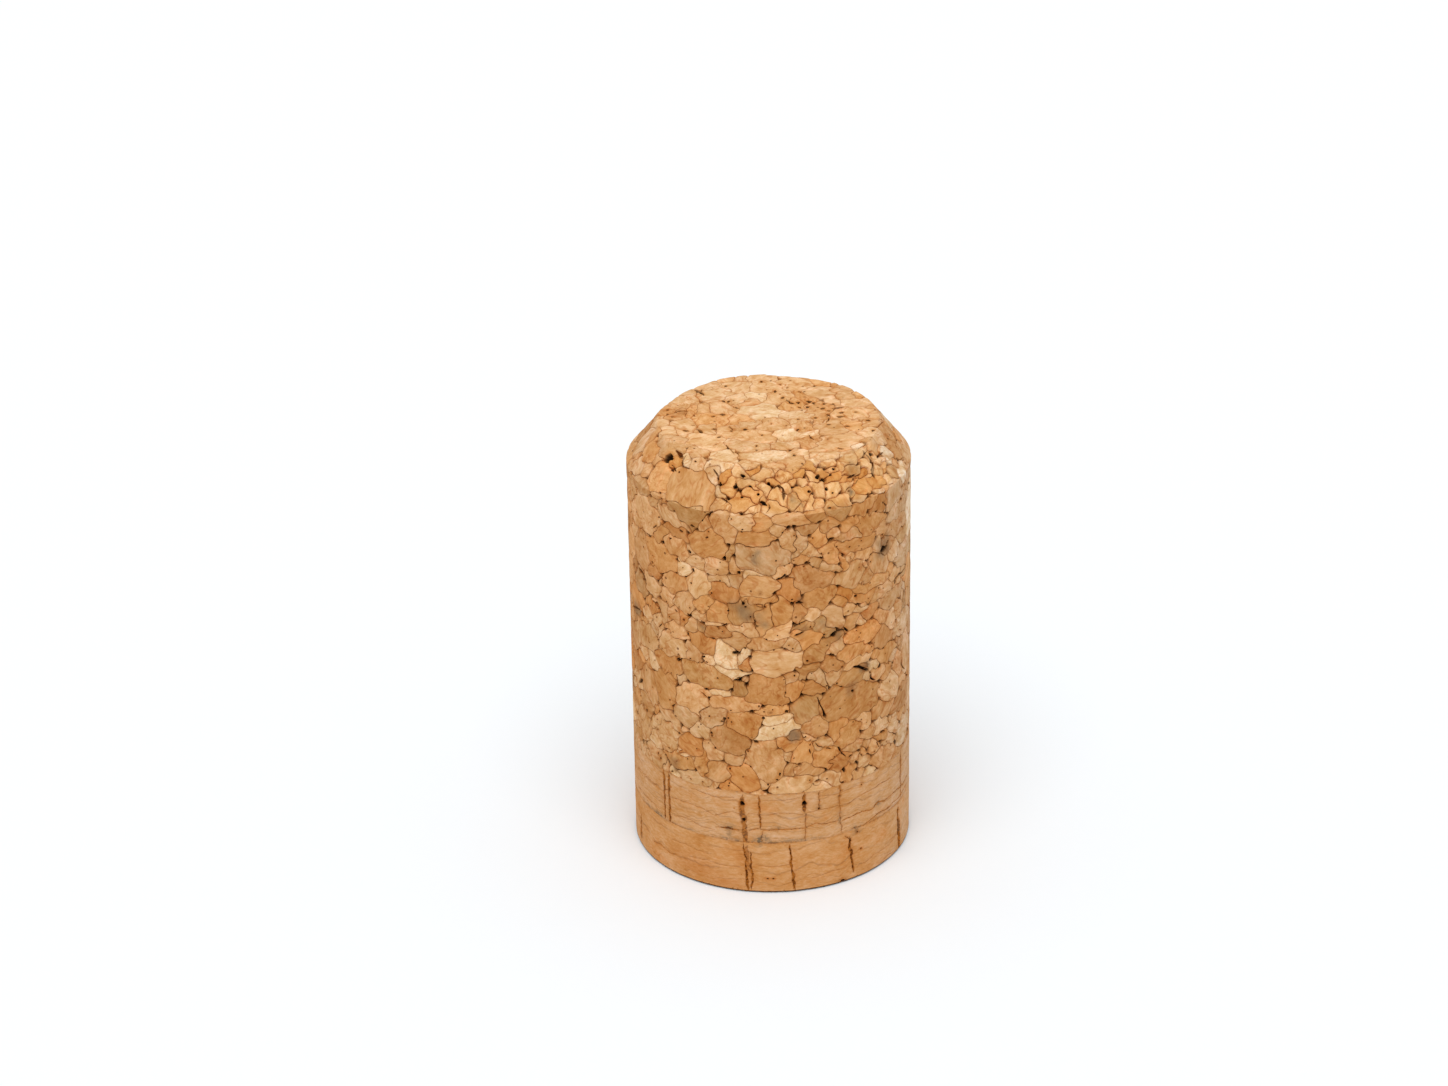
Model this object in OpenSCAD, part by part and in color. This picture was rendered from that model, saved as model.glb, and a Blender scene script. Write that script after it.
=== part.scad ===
// Stopper for sparkling wine: a body of glued cork granules, with two discs of natural cork
// glued under it, all ground to one diameter. The top edge has a deep chamfer.
// The origin is the centre of the bottom face, and +Z points to the chamfered top.
// Angles are seen from above: 0 is the front, which faces -Y, and they grow towards +X.

/* [Stopper] */
// Diameter that the body and both discs are ground to
stopper_d = 29.5; // [24:0.1:34]
// Length from the bottom face to the top face
stopper_l = 48; // [40:0.5:56]
// Width of the break on the bottom edge
edge_break = 0.2; // [0.1:0.05:0.5]

/* [Top chamfer] */
// How far down the side the chamfer reaches
chamfer_h = 4.1; // [2:0.1:6]
// How far in across the top the chamfer reaches
chamfer_w = 3.25; // [2:0.05:5]

/* [Natural cork discs] */
// Thickness of one disc
disc_t = 6; // [4:0.1:8]

/* [Granules] */
// Mean width of a granule
granule_w = 4.6; // [4:0.1:7]
// How far a granule strays from an even row, as a share of its width
granule_stray = 0.3; // [0:0.01:0.4]
// How much a large granule outgrows its neighbours
granule_spread = 1.2; // [0:0.1:2]
// How square the granules are: a low power rounds their corners
granule_power = 9; // [5:1:14]
// Width of the glue seam between two granules
seam_w = 0.16; // [0.1:0.02:0.4]
// How far the seams lie below the ground surface
seam_depth = 0.2; // [0.18:0.01:0.25]

/* [Voids between granules] */
// Mean width of an open void where granules meet
void_w = 0.6; // [0.3:0.05:1]
// How deep the voids go
void_depth = 0.9; // [0.5:0.05:1.5]
// Share of the granules that have a void at a corner
void_share = 0.3; // [0:0.05:0.5]
// Depth of the pocket that a lost granule left in the chamfer
pocket_depth = 1.5; // [0.8:0.1:2.2]

/* [Lenticels in the discs] */
// Depth of the widest lenticels that open on the side
lenticel_depth = 0.8; // [0.4:0.05:1.2]
// Number of pores on the bottom face
pore_count = 14; // [0:1:24]
// Depth of the pores in the bottom face
pore_depth = 1.2; // [0.4:0.1:2.5]

/* [Hidden] */
$fn = 96;

radius = stopper_d / 2;
body_z = 2 * disc_t;
rim_z = stopper_l - chamfer_h;
top_r = radius - chamfer_w;
chamfer_l = norm([chamfer_w, chamfer_h]);
side_l = rim_z - body_z;
// Direction that the chamfer faces, as its radial and upward parts
chamfer_n = [chamfer_h, chamfer_w] / chamfer_l;
// Points in the outline of one granule
outline_points = 10;
// How far a granule's column reaches beyond the ground surface
column_over = 1;

// The widest open gaps, each as [angle, height, length, width, tilt]
gaps = [
    [38.5, 24.8, 2.7, 0.5, -28], [-64, 33.6, 2.3, 0.5, -30], [66, 33.1, 2.4, 0.4, 0],
    [51.7, 37.4, 1.6, 0.8, 10], [5, 37.1, 1.5, 0.45, 32], [25.6, 29.9, 1.5, 0.7, 0],
    [24.5, 40.7, 0.9, 0.6, 15], [-14, 25.1, 1.3, 0.4, -8], [8.5, 18.9, 1.3, 0.8, 30]
];

// The pocket in the chamfer, placed by its angle and its share of the way up the chamfer
pocket_angle = -55;
pocket_place = 0.78;
pocket_w = 1.7;

// Lenticels on the front of each disc, as side_lenticels() reads them
upper_lenticels = [
    [-51.1, -51.1, 0, 1, 0.35, 0.8], [-48, -48, 0, 1, 0.35, 0.8], [-11.9, -12.8, 0, 1, 0.6, 1],
    [-5.5, -5.8, 0.3, 1, 0.2, 0.5], [12.2, 12.6, 0, 1, 0.35, 0.9], [18.5, 18.5, 0.6, 1, 0.2, 0.4],
    [28.7, 27.8, 0, 1, 0.2, 0.5], [67, 67.4, 0, 1, 0.4, 0.7]
];
lower_lenticels = [
    [-10.3, -11.9, 0, 1, 0.65, 1], [8.2, 6.5, 0, 1, 0.2, 0.8], [34.6, 32.2, 0.15, 0.93, 0.3, 0.8],
    [65.6, 64.5, 0.03, 0.9, 0.5, 1], [-73.4, -73, 0.17, 0.5, 0.6, 0.9], [29.2, 29.2, 0, 0.07, 0.4, 0.9]
];
back_count = 7;

// One row of granules after another, from the glue face up the side, over the chamfer and
// across the top. A row's place is its distance along that path.
path_l = side_l + chamfer_l + top_r;
row_count = round(path_l / (0.87 * granule_w));
row_pitch = path_l / row_count;
dice = rands(-1, 1, 4000, 11);

function sum(v) = v * [for (x = v) 1];
function roll(i) = dice[i % len(dice)];

// The ground surface at a distance s along the path: [radius, height, then the radial part and
// the upward part of its normal]
function ground(s) =
    s < side_l ? [radius, body_z + s, 1, 0]
    : s < side_l + chamfer_l ? [radius - (s - side_l) * chamfer_n.y, rim_z + (s - side_l) * chamfer_n.x,
                                chamfer_n.x, chamfer_n.y]
    : [max(0, path_l - s), stopper_l, 0, 1];

function per_row(s) = max(1, round(2 * PI * ground(s)[0] / granule_w));

// A granule is [distance along the path, angle, weight]
granules = [
    for (row = [-1 : row_count - 1])
        let (s_row = (row + 0.5) * row_pitch, n = per_row(s_row))
        for (i = [0 : n - 1])
            let (k = 97 * (row + 1) + 3 * i)
            [s_row + granule_stray * row_pitch * roll(k),
             (i + 0.5 * (row % 2) + granule_stray * roll(k + 1)) * 360 / n,
             granule_spread * roll(k + 2)]
];

function radial(angle) = [sin(angle), -cos(angle), 0];
function place(g) = let (f = ground(g[0])) f[0] * radial(g[1]) + [0, 0, f[1]];
function normal(g) = let (f = ground(g[0])) f[2] * radial(g[1]) + [0, 0, f[3]];
function across(g) = [cos(g[1]), sin(g[1]), 0];
function along(g) = cross(normal(g), across(g));

// Neighbours of granule g, as [direction, distance to the flat between them] in the plane at g
function neighbours(g) =
    let (p = place(g), u = across(g), v = along(g))
    [for (h = granules)
        let (d = place(h) - p, l = norm(d))
        if (l > 0.01 && l < 2.2 * granule_w)
            [atan2(d * v, d * u), max(0.3 * l, l / 2 + (g[2] - h[2]) * granule_w / (4 * l))]];

// Distance from the middle of a granule to its outline: a power mean of its flats, which rounds
// the corners and leaves a small gap where three granules meet
function reach(near, angle) =
    pow(pow(0.8 * granule_w, -granule_power)
        + sum([for (n = near) pow(max(0, cos(angle - n[0])) / n[1], granule_power)]),
        -1 / granule_power) - seam_w / 2;

// The sharp corner of a granule that lies farthest from its middle, as [direction, distance]
function far_corner(near) =
    let (corners = [for (a = [0 : 10 : 350]) [a, 1 / max([for (n = near) max(0.01, cos(a - n[0])) / n[1]])]])
    let (far = max([for (c = corners) c[1]]))
    [for (c = corners) if (c[1] == far) c][0];

function outline(g) =
    let (near = neighbours(g))
    [for (k = [0 : outline_points - 1])
        let (a = (k + 0.5 * roll(round(10 * g[1]) + 500)) * 360 / outline_points)
        reach(near, a) * [cos(a), sin(a)]];

// Stands a child on the surface, with its X across, its Y along the path and its Z outwards
module on_ground(s, angle) {
    f = ground(s);
    translate(f[0] * radial(angle) + [0, 0, f[1]])
        rotate([0, 0, angle - 90])
            rotate([0, atan2(f[2], f[3]), 0])
                rotate([0, 0, 90])
                    children();
}

// Outline of the body's half section from a height up, moved inwards by an inset
module body_profile(inset, foot_z = body_z) {
    edge = chamfer_n * [radius, rim_z] - inset;
    x = radius - inset;
    z = stopper_l - inset;
    polygon([
        [0, foot_z], [x, foot_z],
        [x, (edge - chamfer_n.x * x) / chamfer_n.y],
        [(edge - chamfer_n.y * z) / chamfer_n.x, z],
        [0, z]
    ]);
}

module granule_columns() {
    for (g = granules) {
        near_rim = abs(g[0] - side_l) < granule_w;
        under = near_rim ? granule_w / 2 : 2 * seam_depth;
        on_ground(g[0], g[1])
            translate([0, 0, -under])
                linear_extrude(height = under + column_over)
                    polygon(outline(g));
    }
}

// The glue seams: a skin around the body, which reaches in as deep as they do, less the column
// of each granule
module seams() {
    difference() {
        rotate_extrude() body_profile(-column_over / 2, body_z - 1);
        rotate_extrude() body_profile(seam_depth, body_z - 2);
        granule_columns();
    }
}

// A void has three arms, which run out along the seams that meet there
function void_outline(width, turn, k) = [
    for (i = [0 : 5])
        let (r = width * (i % 2 == 0 ? 0.62 : 0.24) * (1 + 0.3 * roll(k + i)))
        r * [cos(turn + 60 * i), sin(turn + 60 * i)]
];

// Where a granule's corner lies on the ground surface, as its distance along the path and its
// angle, and the way it points there
function corner_place(g, corner) =
    let (p = place(g) + corner[1] * (cos(corner[0]) * across(g) + sin(corner[0]) * along(g)))
    let (angle = atan2(p.x, -p.y), turned = (angle - g[1] + 540) % 360 - 180)
    [g[0] < side_l + chamfer_l ? g[0] + corner[1] * sin(corner[0]) : path_l - norm([p.x, p.y]),
     angle, corner[0] - turned * ground(g[0])[3]];

// A void stays clear of the glue face, both edges of the chamfer, the middle of the top, the
// pocket and the gaps
function is_clear(at) =
    let (to_edges = [at[0], abs(at[0] - side_l), abs(at[0] - side_l - chamfer_l), path_l - at[0]])
    let (to_gaps = [for (gap = gaps) norm(place(at) - place([gap[1] - body_z, gap[0]])) - gap[2] / 2])
    let (to_pocket = norm(place(at) - place([side_l + pocket_place * chamfer_l, pocket_angle])) - pocket_w)
    min(min(to_edges), min(to_gaps), to_pocket) > void_w;

module corner_voids() {
    for (i = [0 : len(granules) - 1]) {
        g = granules[i];
        at = corner_place(g, far_corner(neighbours(g)));
        if (is_clear(at) && abs(roll(i + 1500)) < void_share)
            on_ground(at[0], at[1])
                translate([0, 0, -void_depth])
                    linear_extrude(height = void_depth + column_over)
                        polygon(void_outline(void_w * (1 + 0.4 * roll(i + 700)), at[2], 6 * i));
    }
}

// A gap is as long as it says, pointed at both ends and tilted from level
module open_gaps() {
    for (gap = gaps)
        on_ground(gap[1] - body_z, gap[0])
            rotate([0, 0, gap[4]])
                translate([0, 0, -void_depth])
                    linear_extrude(height = void_depth + column_over)
                        polygon([
                            [-gap[2] / 2, 0], [-gap[2] / 6, -gap[3] / 2],
                            [gap[2] / 2, 0], [gap[2] / 5, gap[3] / 2]
                        ]);
}

// The pocket is open towards the top, where the lost granule stood proud of the chamfer
module pocket() {
    on_ground(side_l + pocket_place * chamfer_l, pocket_angle)
        translate([0, 0, -pocket_depth])
            linear_extrude(height = pocket_depth + column_over)
                polygon([
                    [-0.62 * pocket_w, -0.42 * pocket_w], [0.1 * pocket_w, -0.5 * pocket_w],
                    [0.4 * pocket_w, 0.05 * pocket_w], [0.75 * pocket_w, 0.42 * pocket_w],
                    [0.1 * pocket_w, 0.5 * pocket_w], [-0.3 * pocket_w, 0]
                ]);
}

module agglomerate_body() {
    color([0.80, 0.60, 0.40])
        difference() {
            rotate_extrude() body_profile(0);
            seams();
            corner_voids();
            open_gaps();
            pocket();
        }
}

// A disc stands on z = 0 here. Its lower edge can be broken.
module disc_blank(broken) {
    rotate_extrude()
        polygon([[0, 0], [radius - broken, 0], [radius, broken], [radius, disc_t], [0, disc_t]]);
}

// Lenticels run through a disc from face to face, and open on the side where the grinder cut
// into them. Each is [angle at its foot, angle at its head, foot, head, width, depth share],
// with its foot and head as shares of the disc's thickness.
module side_lenticels(lenticels) {
    for (t = lenticels) {
        foot = t[2] * disc_t - (t[2] == 0 ? 1 : 0);
        head = t[3] * disc_t + (t[3] == 1 ? 1 : 0);
        lean = (t[1] - t[0]) / 2 * PI / 180 * radius;
        deep = lenticel_depth * t[5];
        rotate([0, 0, (t[0] + t[1]) / 2 - 90])
            translate([radius - deep, 0, 0])
                rotate([90, 0, 90])
                    linear_extrude(height = deep + column_over)
                        polygon([
                            [-lean - t[4] / 2, foot], [-lean + t[4] / 2, foot],
                            [lean + t[4] / 2, head], [lean - t[4] / 2, head]
                        ]);
    }
}

// The back of a disc, which has the same kind of lenticels as its front
function back_lenticels(k) = [
    for (i = [0 : back_count - 1])
        let (a = 100 + 160 * (i + 0.5 + 0.35 * roll(k + i)) / back_count)
        let (from = max(0, 0.5 * roll(k + 20 + i)), to = 1 - max(0, 0.5 * roll(k + 40 + i)))
        [a, a + 2 * roll(k + 60 + i), from, to, 0.3 + 0.15 * roll(k + 80 + i), 0.6 + 0.3 * roll(k + 100 + i)]
];

module upper_disc() {
    color([0.77, 0.56, 0.36])
        translate([0, 0, disc_t])
            difference() {
                disc_blank(0);
                side_lenticels(upper_lenticels);
                side_lenticels(back_lenticels(200));
            }
}

// Each pore is a lens with the grain, and they spread like seeds from the middle to the edge
module face_pores() {
    for (i = [0 : pore_count - 1]) {
        r = (radius - 2) * sqrt((i + 0.7) / pore_count);
        long = 0.9 + 0.35 * roll(i + 300);
        wide = 0.35 + 0.1 * roll(i + 330);
        rotate([0, 0, 137.5 * i + 15 * roll(i + 360)])
            translate([r, 0, -1])
                linear_extrude(height = 1 + pore_depth)
                    polygon([
                        [-long / 2, 0], [-long / 4, -wide / 2], [long / 4, -wide / 2],
                        [long / 2, 0], [long / 4, wide / 2], [-long / 4, wide / 2]
                    ]);
    }
}

module lower_disc() {
    color([0.76, 0.54, 0.33])
        difference() {
            disc_blank(edge_break);
            side_lenticels(lower_lenticels);
            side_lenticels(back_lenticels(400));
            face_pores();
        }
}

agglomerate_body();
upper_disc();
lower_disc();
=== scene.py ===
"""Looks of a cork stopper for sparkling wine, laid out as a Blender add-on.

The stopper is a rod of glued cork granules on two discs of natural cork. Lengths in the code are
millimetres until a mesh is made. Angles are seen from above: 0 is the front, which faces -Y, and
they grow towards +X.
"""
import itertools
import math

import bpy
import numpy as np
from mathutils import Matrix, Vector, kdtree
from mathutils.geometry import delaunay_2d_cdt


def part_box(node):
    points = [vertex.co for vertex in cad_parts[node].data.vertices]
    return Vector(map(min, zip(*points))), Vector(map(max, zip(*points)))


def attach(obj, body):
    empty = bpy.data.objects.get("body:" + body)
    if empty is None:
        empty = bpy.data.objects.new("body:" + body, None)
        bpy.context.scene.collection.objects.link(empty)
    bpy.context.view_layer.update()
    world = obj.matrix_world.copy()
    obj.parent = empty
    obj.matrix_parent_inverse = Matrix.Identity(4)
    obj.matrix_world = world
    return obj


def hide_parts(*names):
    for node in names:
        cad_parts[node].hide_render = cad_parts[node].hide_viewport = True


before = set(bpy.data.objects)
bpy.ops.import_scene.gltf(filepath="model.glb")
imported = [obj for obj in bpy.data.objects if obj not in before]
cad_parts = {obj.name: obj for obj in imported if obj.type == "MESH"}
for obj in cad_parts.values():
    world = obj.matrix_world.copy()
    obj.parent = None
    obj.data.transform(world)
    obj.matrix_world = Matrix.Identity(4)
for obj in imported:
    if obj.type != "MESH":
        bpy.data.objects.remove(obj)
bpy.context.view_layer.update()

bl_info = {
    "name": "Cork Stopper",
    "version": (1, 0, 0),
    "blender": (4, 5, 0),
    "location": "3D View > Sidebar > Stopper",
    "description": "Builds a stopper of glued cork granules on two discs of natural cork",
    "category": "Add Mesh",
}

MM = 0.001

# Sizes of the meshes and of what they show, in millimetres: the lattices of the body and the discs,
# the spacing of points along seams, the mean width of a seam, how much wider it gets where it
# flares, and the eased foot of the lower disc
BODY_PITCH = 0.37
DISC_PITCH = 0.3
SEAM_STEP = 0.26
SEAM_WIDTH = 0.125
SEAM_FLARE = 0.42
FOOT_EASE = 0.2

# The camera: its place in millimetres, its tilt below the level and its roll in degrees, and its
# focal length and the picture's width in pixels
CAMERA_PLACE = (-4.762, -385.235, 223.438)
CAMERA_DOWN = 26.2034
CAMERA_ROLL = -0.9244
CAMERA_FOCUS = 4100
PICTURE_WIDTH = 1448
SENSOR_WIDTH = 36.0

# The stage, in metres: half the floor's width, and the place of the key lamp
FLOOR_REACH = 3.0
KEY_PLACE = (-0.04, -0.38, 0.85)
KEY_SPREAD = 50


def srgb(*levels):
    """The linear colour of three levels from 0 to 255, as a screen shows them."""
    return tuple(((v / 255 + 0.055) / 1.055) ** 2.4 for v in levels)


def cad_size(node):
    """The radius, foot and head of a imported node, in millimetres."""
    low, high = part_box(node)
    return (high.x - low.x) / 2 / MM, low.z / MM, high.z / MM


def cad_chamfer():
    """How far the chamfer reaches down the side and in across the top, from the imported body."""
    radius, _, head = cad_size("agglomerate_body")
    places = np.array([v.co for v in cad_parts["agglomerate_body"].data.vertices]) / MM
    out = np.hypot(places[:, 0], places[:, 1])
    rim = places[out > radius - 0.01, 2].max()
    return head - rim, radius - out[places[:, 2] > head - 0.01].max()


BODY_R, BODY_FOOT, BODY_HEAD = cad_size("agglomerate_body")
DISC_JOINT = cad_size("upper_disc")[1]
CHAMFER_H, CHAMFER_W = cad_chamfer()


# --- Surfaces -----------------------------------------------------------------------------------

class Skin:
    """The ground surface of a round piece, and a flat plan of it.

    The surface is a path of corners (radius, height) turned about Z. A place on it is a distance
    along the path and an angle in radians. The plan gives each place a complex number: angles in
    it are true, and only its scale changes from place to place.
    """

    EASE = 0.25

    def __init__(self, corners, side=1):
        corner = np.array(corners, float)
        step = np.diff(corner, axis=0)
        self.side = side
        self.length = np.hypot(*step.T)
        self.start = np.concatenate([[0], np.cumsum(self.length)])
        self.total = self.start[-1]
        self.corner = corner
        self.slope = step / self.length[:, None]
        outward = side * np.stack([self.slope[:, 1], -self.slope[:, 0]], 1)
        turn = [0.0]
        for (r0, _), (r1, _), slope, length in zip(corner, corner[1:], self.slope, self.length):
            if abs(slope[0]) < 1e-9:
                turn.append(turn[-1] + length / r0)
            elif r1 < 1e-9:
                turn.append(np.inf)
            else:
                turn.append(turn[-1] + math.log(r1 / r0) / slope[0])
        self.turn = np.array(turn)
        self.closed = not np.isfinite(self.turn[-1])
        self.reach = corner[-2, 0] * math.exp(self.turn[-2]) if self.closed else corner[0, 0]
        # The outward direction swings over a short ease at each corner
        self.ease_s = np.concatenate([[s - self.EASE, s + self.EASE] for s in self.start[1:-1]] or [[0]])
        self.ease_n = np.repeat(outward, 2, axis=0)[1:-1] if len(outward) > 1 else outward
        # The radii on the plan of the rim where the path starts and, unless it is closed, ends
        self.outer = np.abs(self.plan(0.0, 0.0))
        self.inner = 0.0 if self.closed else np.abs(self.plan(self.total, 0.0))

    def part(self, s):
        """The number of the stretch of the path that distances lie on."""
        return np.clip(np.searchsorted(self.start, s, "right") - 1, 0, len(self.length) - 1)

    def radius(self, s):
        """The distance from the axis at distances along the path."""
        return np.interp(s, self.start, self.corner[:, 0])

    def plan(self, s, angle):
        """The plan's complex number for places."""
        s = np.asarray(s, float)
        k = self.part(s)
        r0, slope, r = self.corner[k, 0], self.slope[k, 0], np.maximum(self.radius(s), 1e-9)
        flat = np.abs(slope) < 1e-9
        turn = self.turn[k] + np.where(flat, (s - self.start[k]) / r0,
                                       np.log(r / r0) / np.where(flat, 1, slope))
        return self.reach * np.exp(-turn) * np.exp(1j * np.asarray(angle))

    def unplan(self, w):
        """The places, as distances and angles, of the plan's complex numbers."""
        turn = -np.log(np.maximum(np.abs(w), 1e-9) / self.reach)
        k = np.clip(np.searchsorted(self.turn, turn + 1e-9, "right") - 1, 0, len(self.length) - 1)
        r0, slope, d = self.corner[k, 0], self.slope[k, 0], turn - self.turn[k]
        flat = np.abs(slope) < 1e-9
        safe = np.where(flat, 1, slope)
        along = np.where(flat, d * r0, r0 * (np.exp(d * safe) - 1) / safe)
        return np.clip(self.start[k] + along, 0, self.total), np.angle(w)

    def scale(self, w):
        """Plan lengths per millimetre at places of the plan."""
        s, _ = self.unplan(w)
        return np.maximum(np.abs(w), 1e-6) / np.maximum(self.radius(s), 1e-6)

    def shift(self, w, across, along):
        """Places of the plan moved by millimetres across and along the path."""
        return w + self.scale(w) * (1j * across - along) * w / np.maximum(np.abs(w), 1e-9)

    def run(self, line):
        """How far along a line of the plan's places each of them lies, in millimetres."""
        steps = np.abs(np.diff(line)) / self.scale((line[1:] + line[:-1]) / 2)
        return np.concatenate([[0], np.cumsum(steps)])

    def ring(self, s, count):
        """Evenly spaced places of the plan, once round the axis."""
        return self.plan(np.full(count, s), np.arange(count) * 2 * np.pi / count)

    def outward(self, s):
        """The outward direction at distances along the path, as a radius and a height."""
        n = np.stack([np.interp(s, self.ease_s, self.ease_n[:, i]) for i in (0, 1)], -1)
        return n / np.linalg.norm(n, axis=-1, keepdims=True)

    def solid(self, s, angle, lift=0.0):
        """Points in space, in millimetres, of places raised from the surface."""
        n = self.outward(s)
        r = self.radius(s) + lift * n[..., 0]
        z = np.interp(s, self.start, self.corner[:, 1]) + lift * n[..., 1]
        return np.stack([r * np.sin(angle), -r * np.cos(angle), z], -1)

    def axes(self, s, angle):
        """The directions across, along and out of the surface at places, as rows of a matrix."""
        across = np.stack([np.cos(angle), np.sin(angle), 0 * angle], -1)
        n = self.outward(s)
        out = np.stack([n[..., 0] * np.sin(angle), -n[..., 0] * np.cos(angle), n[..., 1]], -1)
        d = self.slope[self.part(s)]
        along = np.stack([d[..., 0] * np.sin(angle), -d[..., 0] * np.cos(angle), d[..., 1]], -1)
        return np.stack([across, along, out], -2)


class Waves:
    """A smooth random field: the sum of a few sine waves that run in random directions."""

    def __init__(self, seed, length, parts=1, count=9):
        rng = np.random.default_rng(seed)
        way = rng.normal(size=(count, 3))
        way *= (2 * np.pi / length / np.linalg.norm(way, axis=1) * rng.uniform(0.6, 1.5, count))[:, None]
        self.way = way.T
        self.phase = rng.uniform(0, 2 * np.pi, (parts, count))

    def __call__(self, points):
        run = points @ self.way
        rows = [np.sin(run + phase).sum(-1) for phase in self.phase]
        field = np.stack(rows, -1) * math.sqrt(2 / self.way.shape[1]) * 0.7
        return field if len(rows) > 1 else field[..., 0]


def smooth(x):
    """A step from 0 to 1 with eased ends."""
    x = np.clip(x, 0, 1)
    return x * x * (3 - 2 * x)


def along_line(at, run, line):
    """The places of the plan that lie on a line at distances along it."""
    return np.interp(at, run, line.real) + 1j * np.interp(at, run, line.imag)


def triangulate(w, links=(), near=1e-9):
    """Cuts the plan into triangles that keep the links: places, triangles and edges on a link."""
    points = [Vector((z.real, z.imag)) for z in w]
    out = delaunay_2d_cdt(points, [tuple(map(int, ends)) for ends in links], [], 0, near, True)
    placed = np.array([complex(v[0], v[1]) for v in out[0]])
    walls = np.array([sorted(edge) for edge, ids in zip(out[1], out[4]) if ids], int).reshape(-1, 2)
    return placed, np.array([f for f in out[2] if len(f) == 3], int), walls


def triangle_sides(tris):
    """The first, second and third sides of triangles, each with its lower vertex first."""
    return np.sort(np.concatenate([tris[:, [0, 1]], tris[:, [1, 2]], tris[:, [2, 0]]]), axis=1)


def lattice(skin, pitch, jitter=0.0, rng=None):
    """Places in staggered rows all over a skin."""
    rows = max(2, round(skin.total / (0.87 * pitch)))
    s_all, a_all = [], []
    for row in range(rows + 1):
        s = skin.total * row / rows
        n = max(1, round(2 * np.pi * float(skin.radius(s)) / pitch))
        a = (np.arange(n) + 0.5 * (row % 2)) * 2 * np.pi / n
        s = np.full(n, s)
        if jitter and 0 < row < rows:
            s = s + jitter * pitch * rng.uniform(-1, 1, n)
            a = a + jitter * pitch * rng.uniform(-1, 1, n) / max(0.5, float(skin.radius(s[0])))
        s_all.append(s)
        a_all.append(a)
    return np.concatenate(s_all), np.concatenate(a_all)


# --- Granules and the seams between them --------------------------------------------------------

class Granule:
    """One cork granule, as a stretched ball round a place on a skin."""

    def __init__(self, skin, s, angle, long, wide, tilt=0.0, tone="tan"):
        self.long, self.wide, self.tone = long, wide, tone
        self.middle = skin.solid(s, angle)
        c, d = math.cos(math.radians(tilt)), math.sin(math.radians(tilt))
        turn = np.array([[c, d, 0], [-d, c, 0], [0, 0, 1]])
        self.stretch = np.diag([2 / long, 2 / wide, 2 / wide]) @ turn @ skin.axes(s, angle)

    @property
    def size(self):
        """The mean half width."""
        return math.sqrt(self.long * self.wide) / 2


def scatter(skin, granules, classes, rng, shares):
    """Fills the room between the granules with more of them, from large to small.

    Each class is (width, attempts, first distance, last distance, angle from, angle to). The
    shares say how common each tone is.
    """
    tones = list(shares)
    for width, attempts, s0, s1, a0, a1 in classes:
        middles = np.array([g.middle for g in granules]).reshape(-1, 3)
        stretches = np.array([g.stretch for g in granules]).reshape(-1, 3, 3)
        sizes = np.array([g.size for g in granules])
        s_try = rng.uniform(s0, s1, attempts)
        a_try = rng.uniform(a0, a1, attempts)
        keep = rng.uniform(0, 1, attempts) < skin.radius(s_try) / skin.corner[:, 0].max()
        shapes = rng.uniform([0.85, 0.62, -90], [1.25, 1.0, 90], (attempts, 3))
        picks = rng.choice(len(tones), attempts, p=list(shares.values()))
        for s, a, ok, (grow, slim, tilt), pick in zip(s_try, a_try, keep, shapes, picks):
            if not ok:
                continue
            place = skin.solid(s, a)
            size = width / 2 * grow * math.sqrt(slim)
            off = np.einsum("gij,gj->gi", stretches, place - middles)
            if len(off) and (np.linalg.norm(off, axis=1) < 1 + 0.68 * size / sizes).any():
                continue
            g = Granule(skin, s, a, width * grow, width * grow * slim, tilt, tones[pick])
            granules.append(g)
            middles = np.vstack([middles, g.middle])
            stretches = np.concatenate([stretches, g.stretch[None]])
            sizes = np.append(sizes, g.size)
    return granules


def granule_pull(points, granules, index):
    """How far points lie outside the granules of an index, so that seams come out nearly straight."""
    middles = np.array([g.middle for g in granules])[index]
    stretches = np.array([g.stretch for g in granules])[index]
    sizes = np.array([g.size for g in granules])[index]
    out = np.einsum("nij,nj->ni", stretches, points - middles)
    return ((out * out).sum(1) - 1) * sizes ** 1.5


def nearest_granule(points, granules):
    """The index of the granule that each point belongs to."""
    best = np.full(len(points), np.inf)
    label = np.zeros(len(points), int)
    for i, g in enumerate(granules):
        off = points - g.middle
        close = np.flatnonzero((off * off).sum(1) < (1.7 * g.long + 1) ** 2)
        out = off[close] @ g.stretch.T
        d = ((out * out).sum(1) - 1) * g.size ** 1.5
        won = d < best[close]
        best[close[won]] = d[won]
        label[close[won]] = i
    return label


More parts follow.
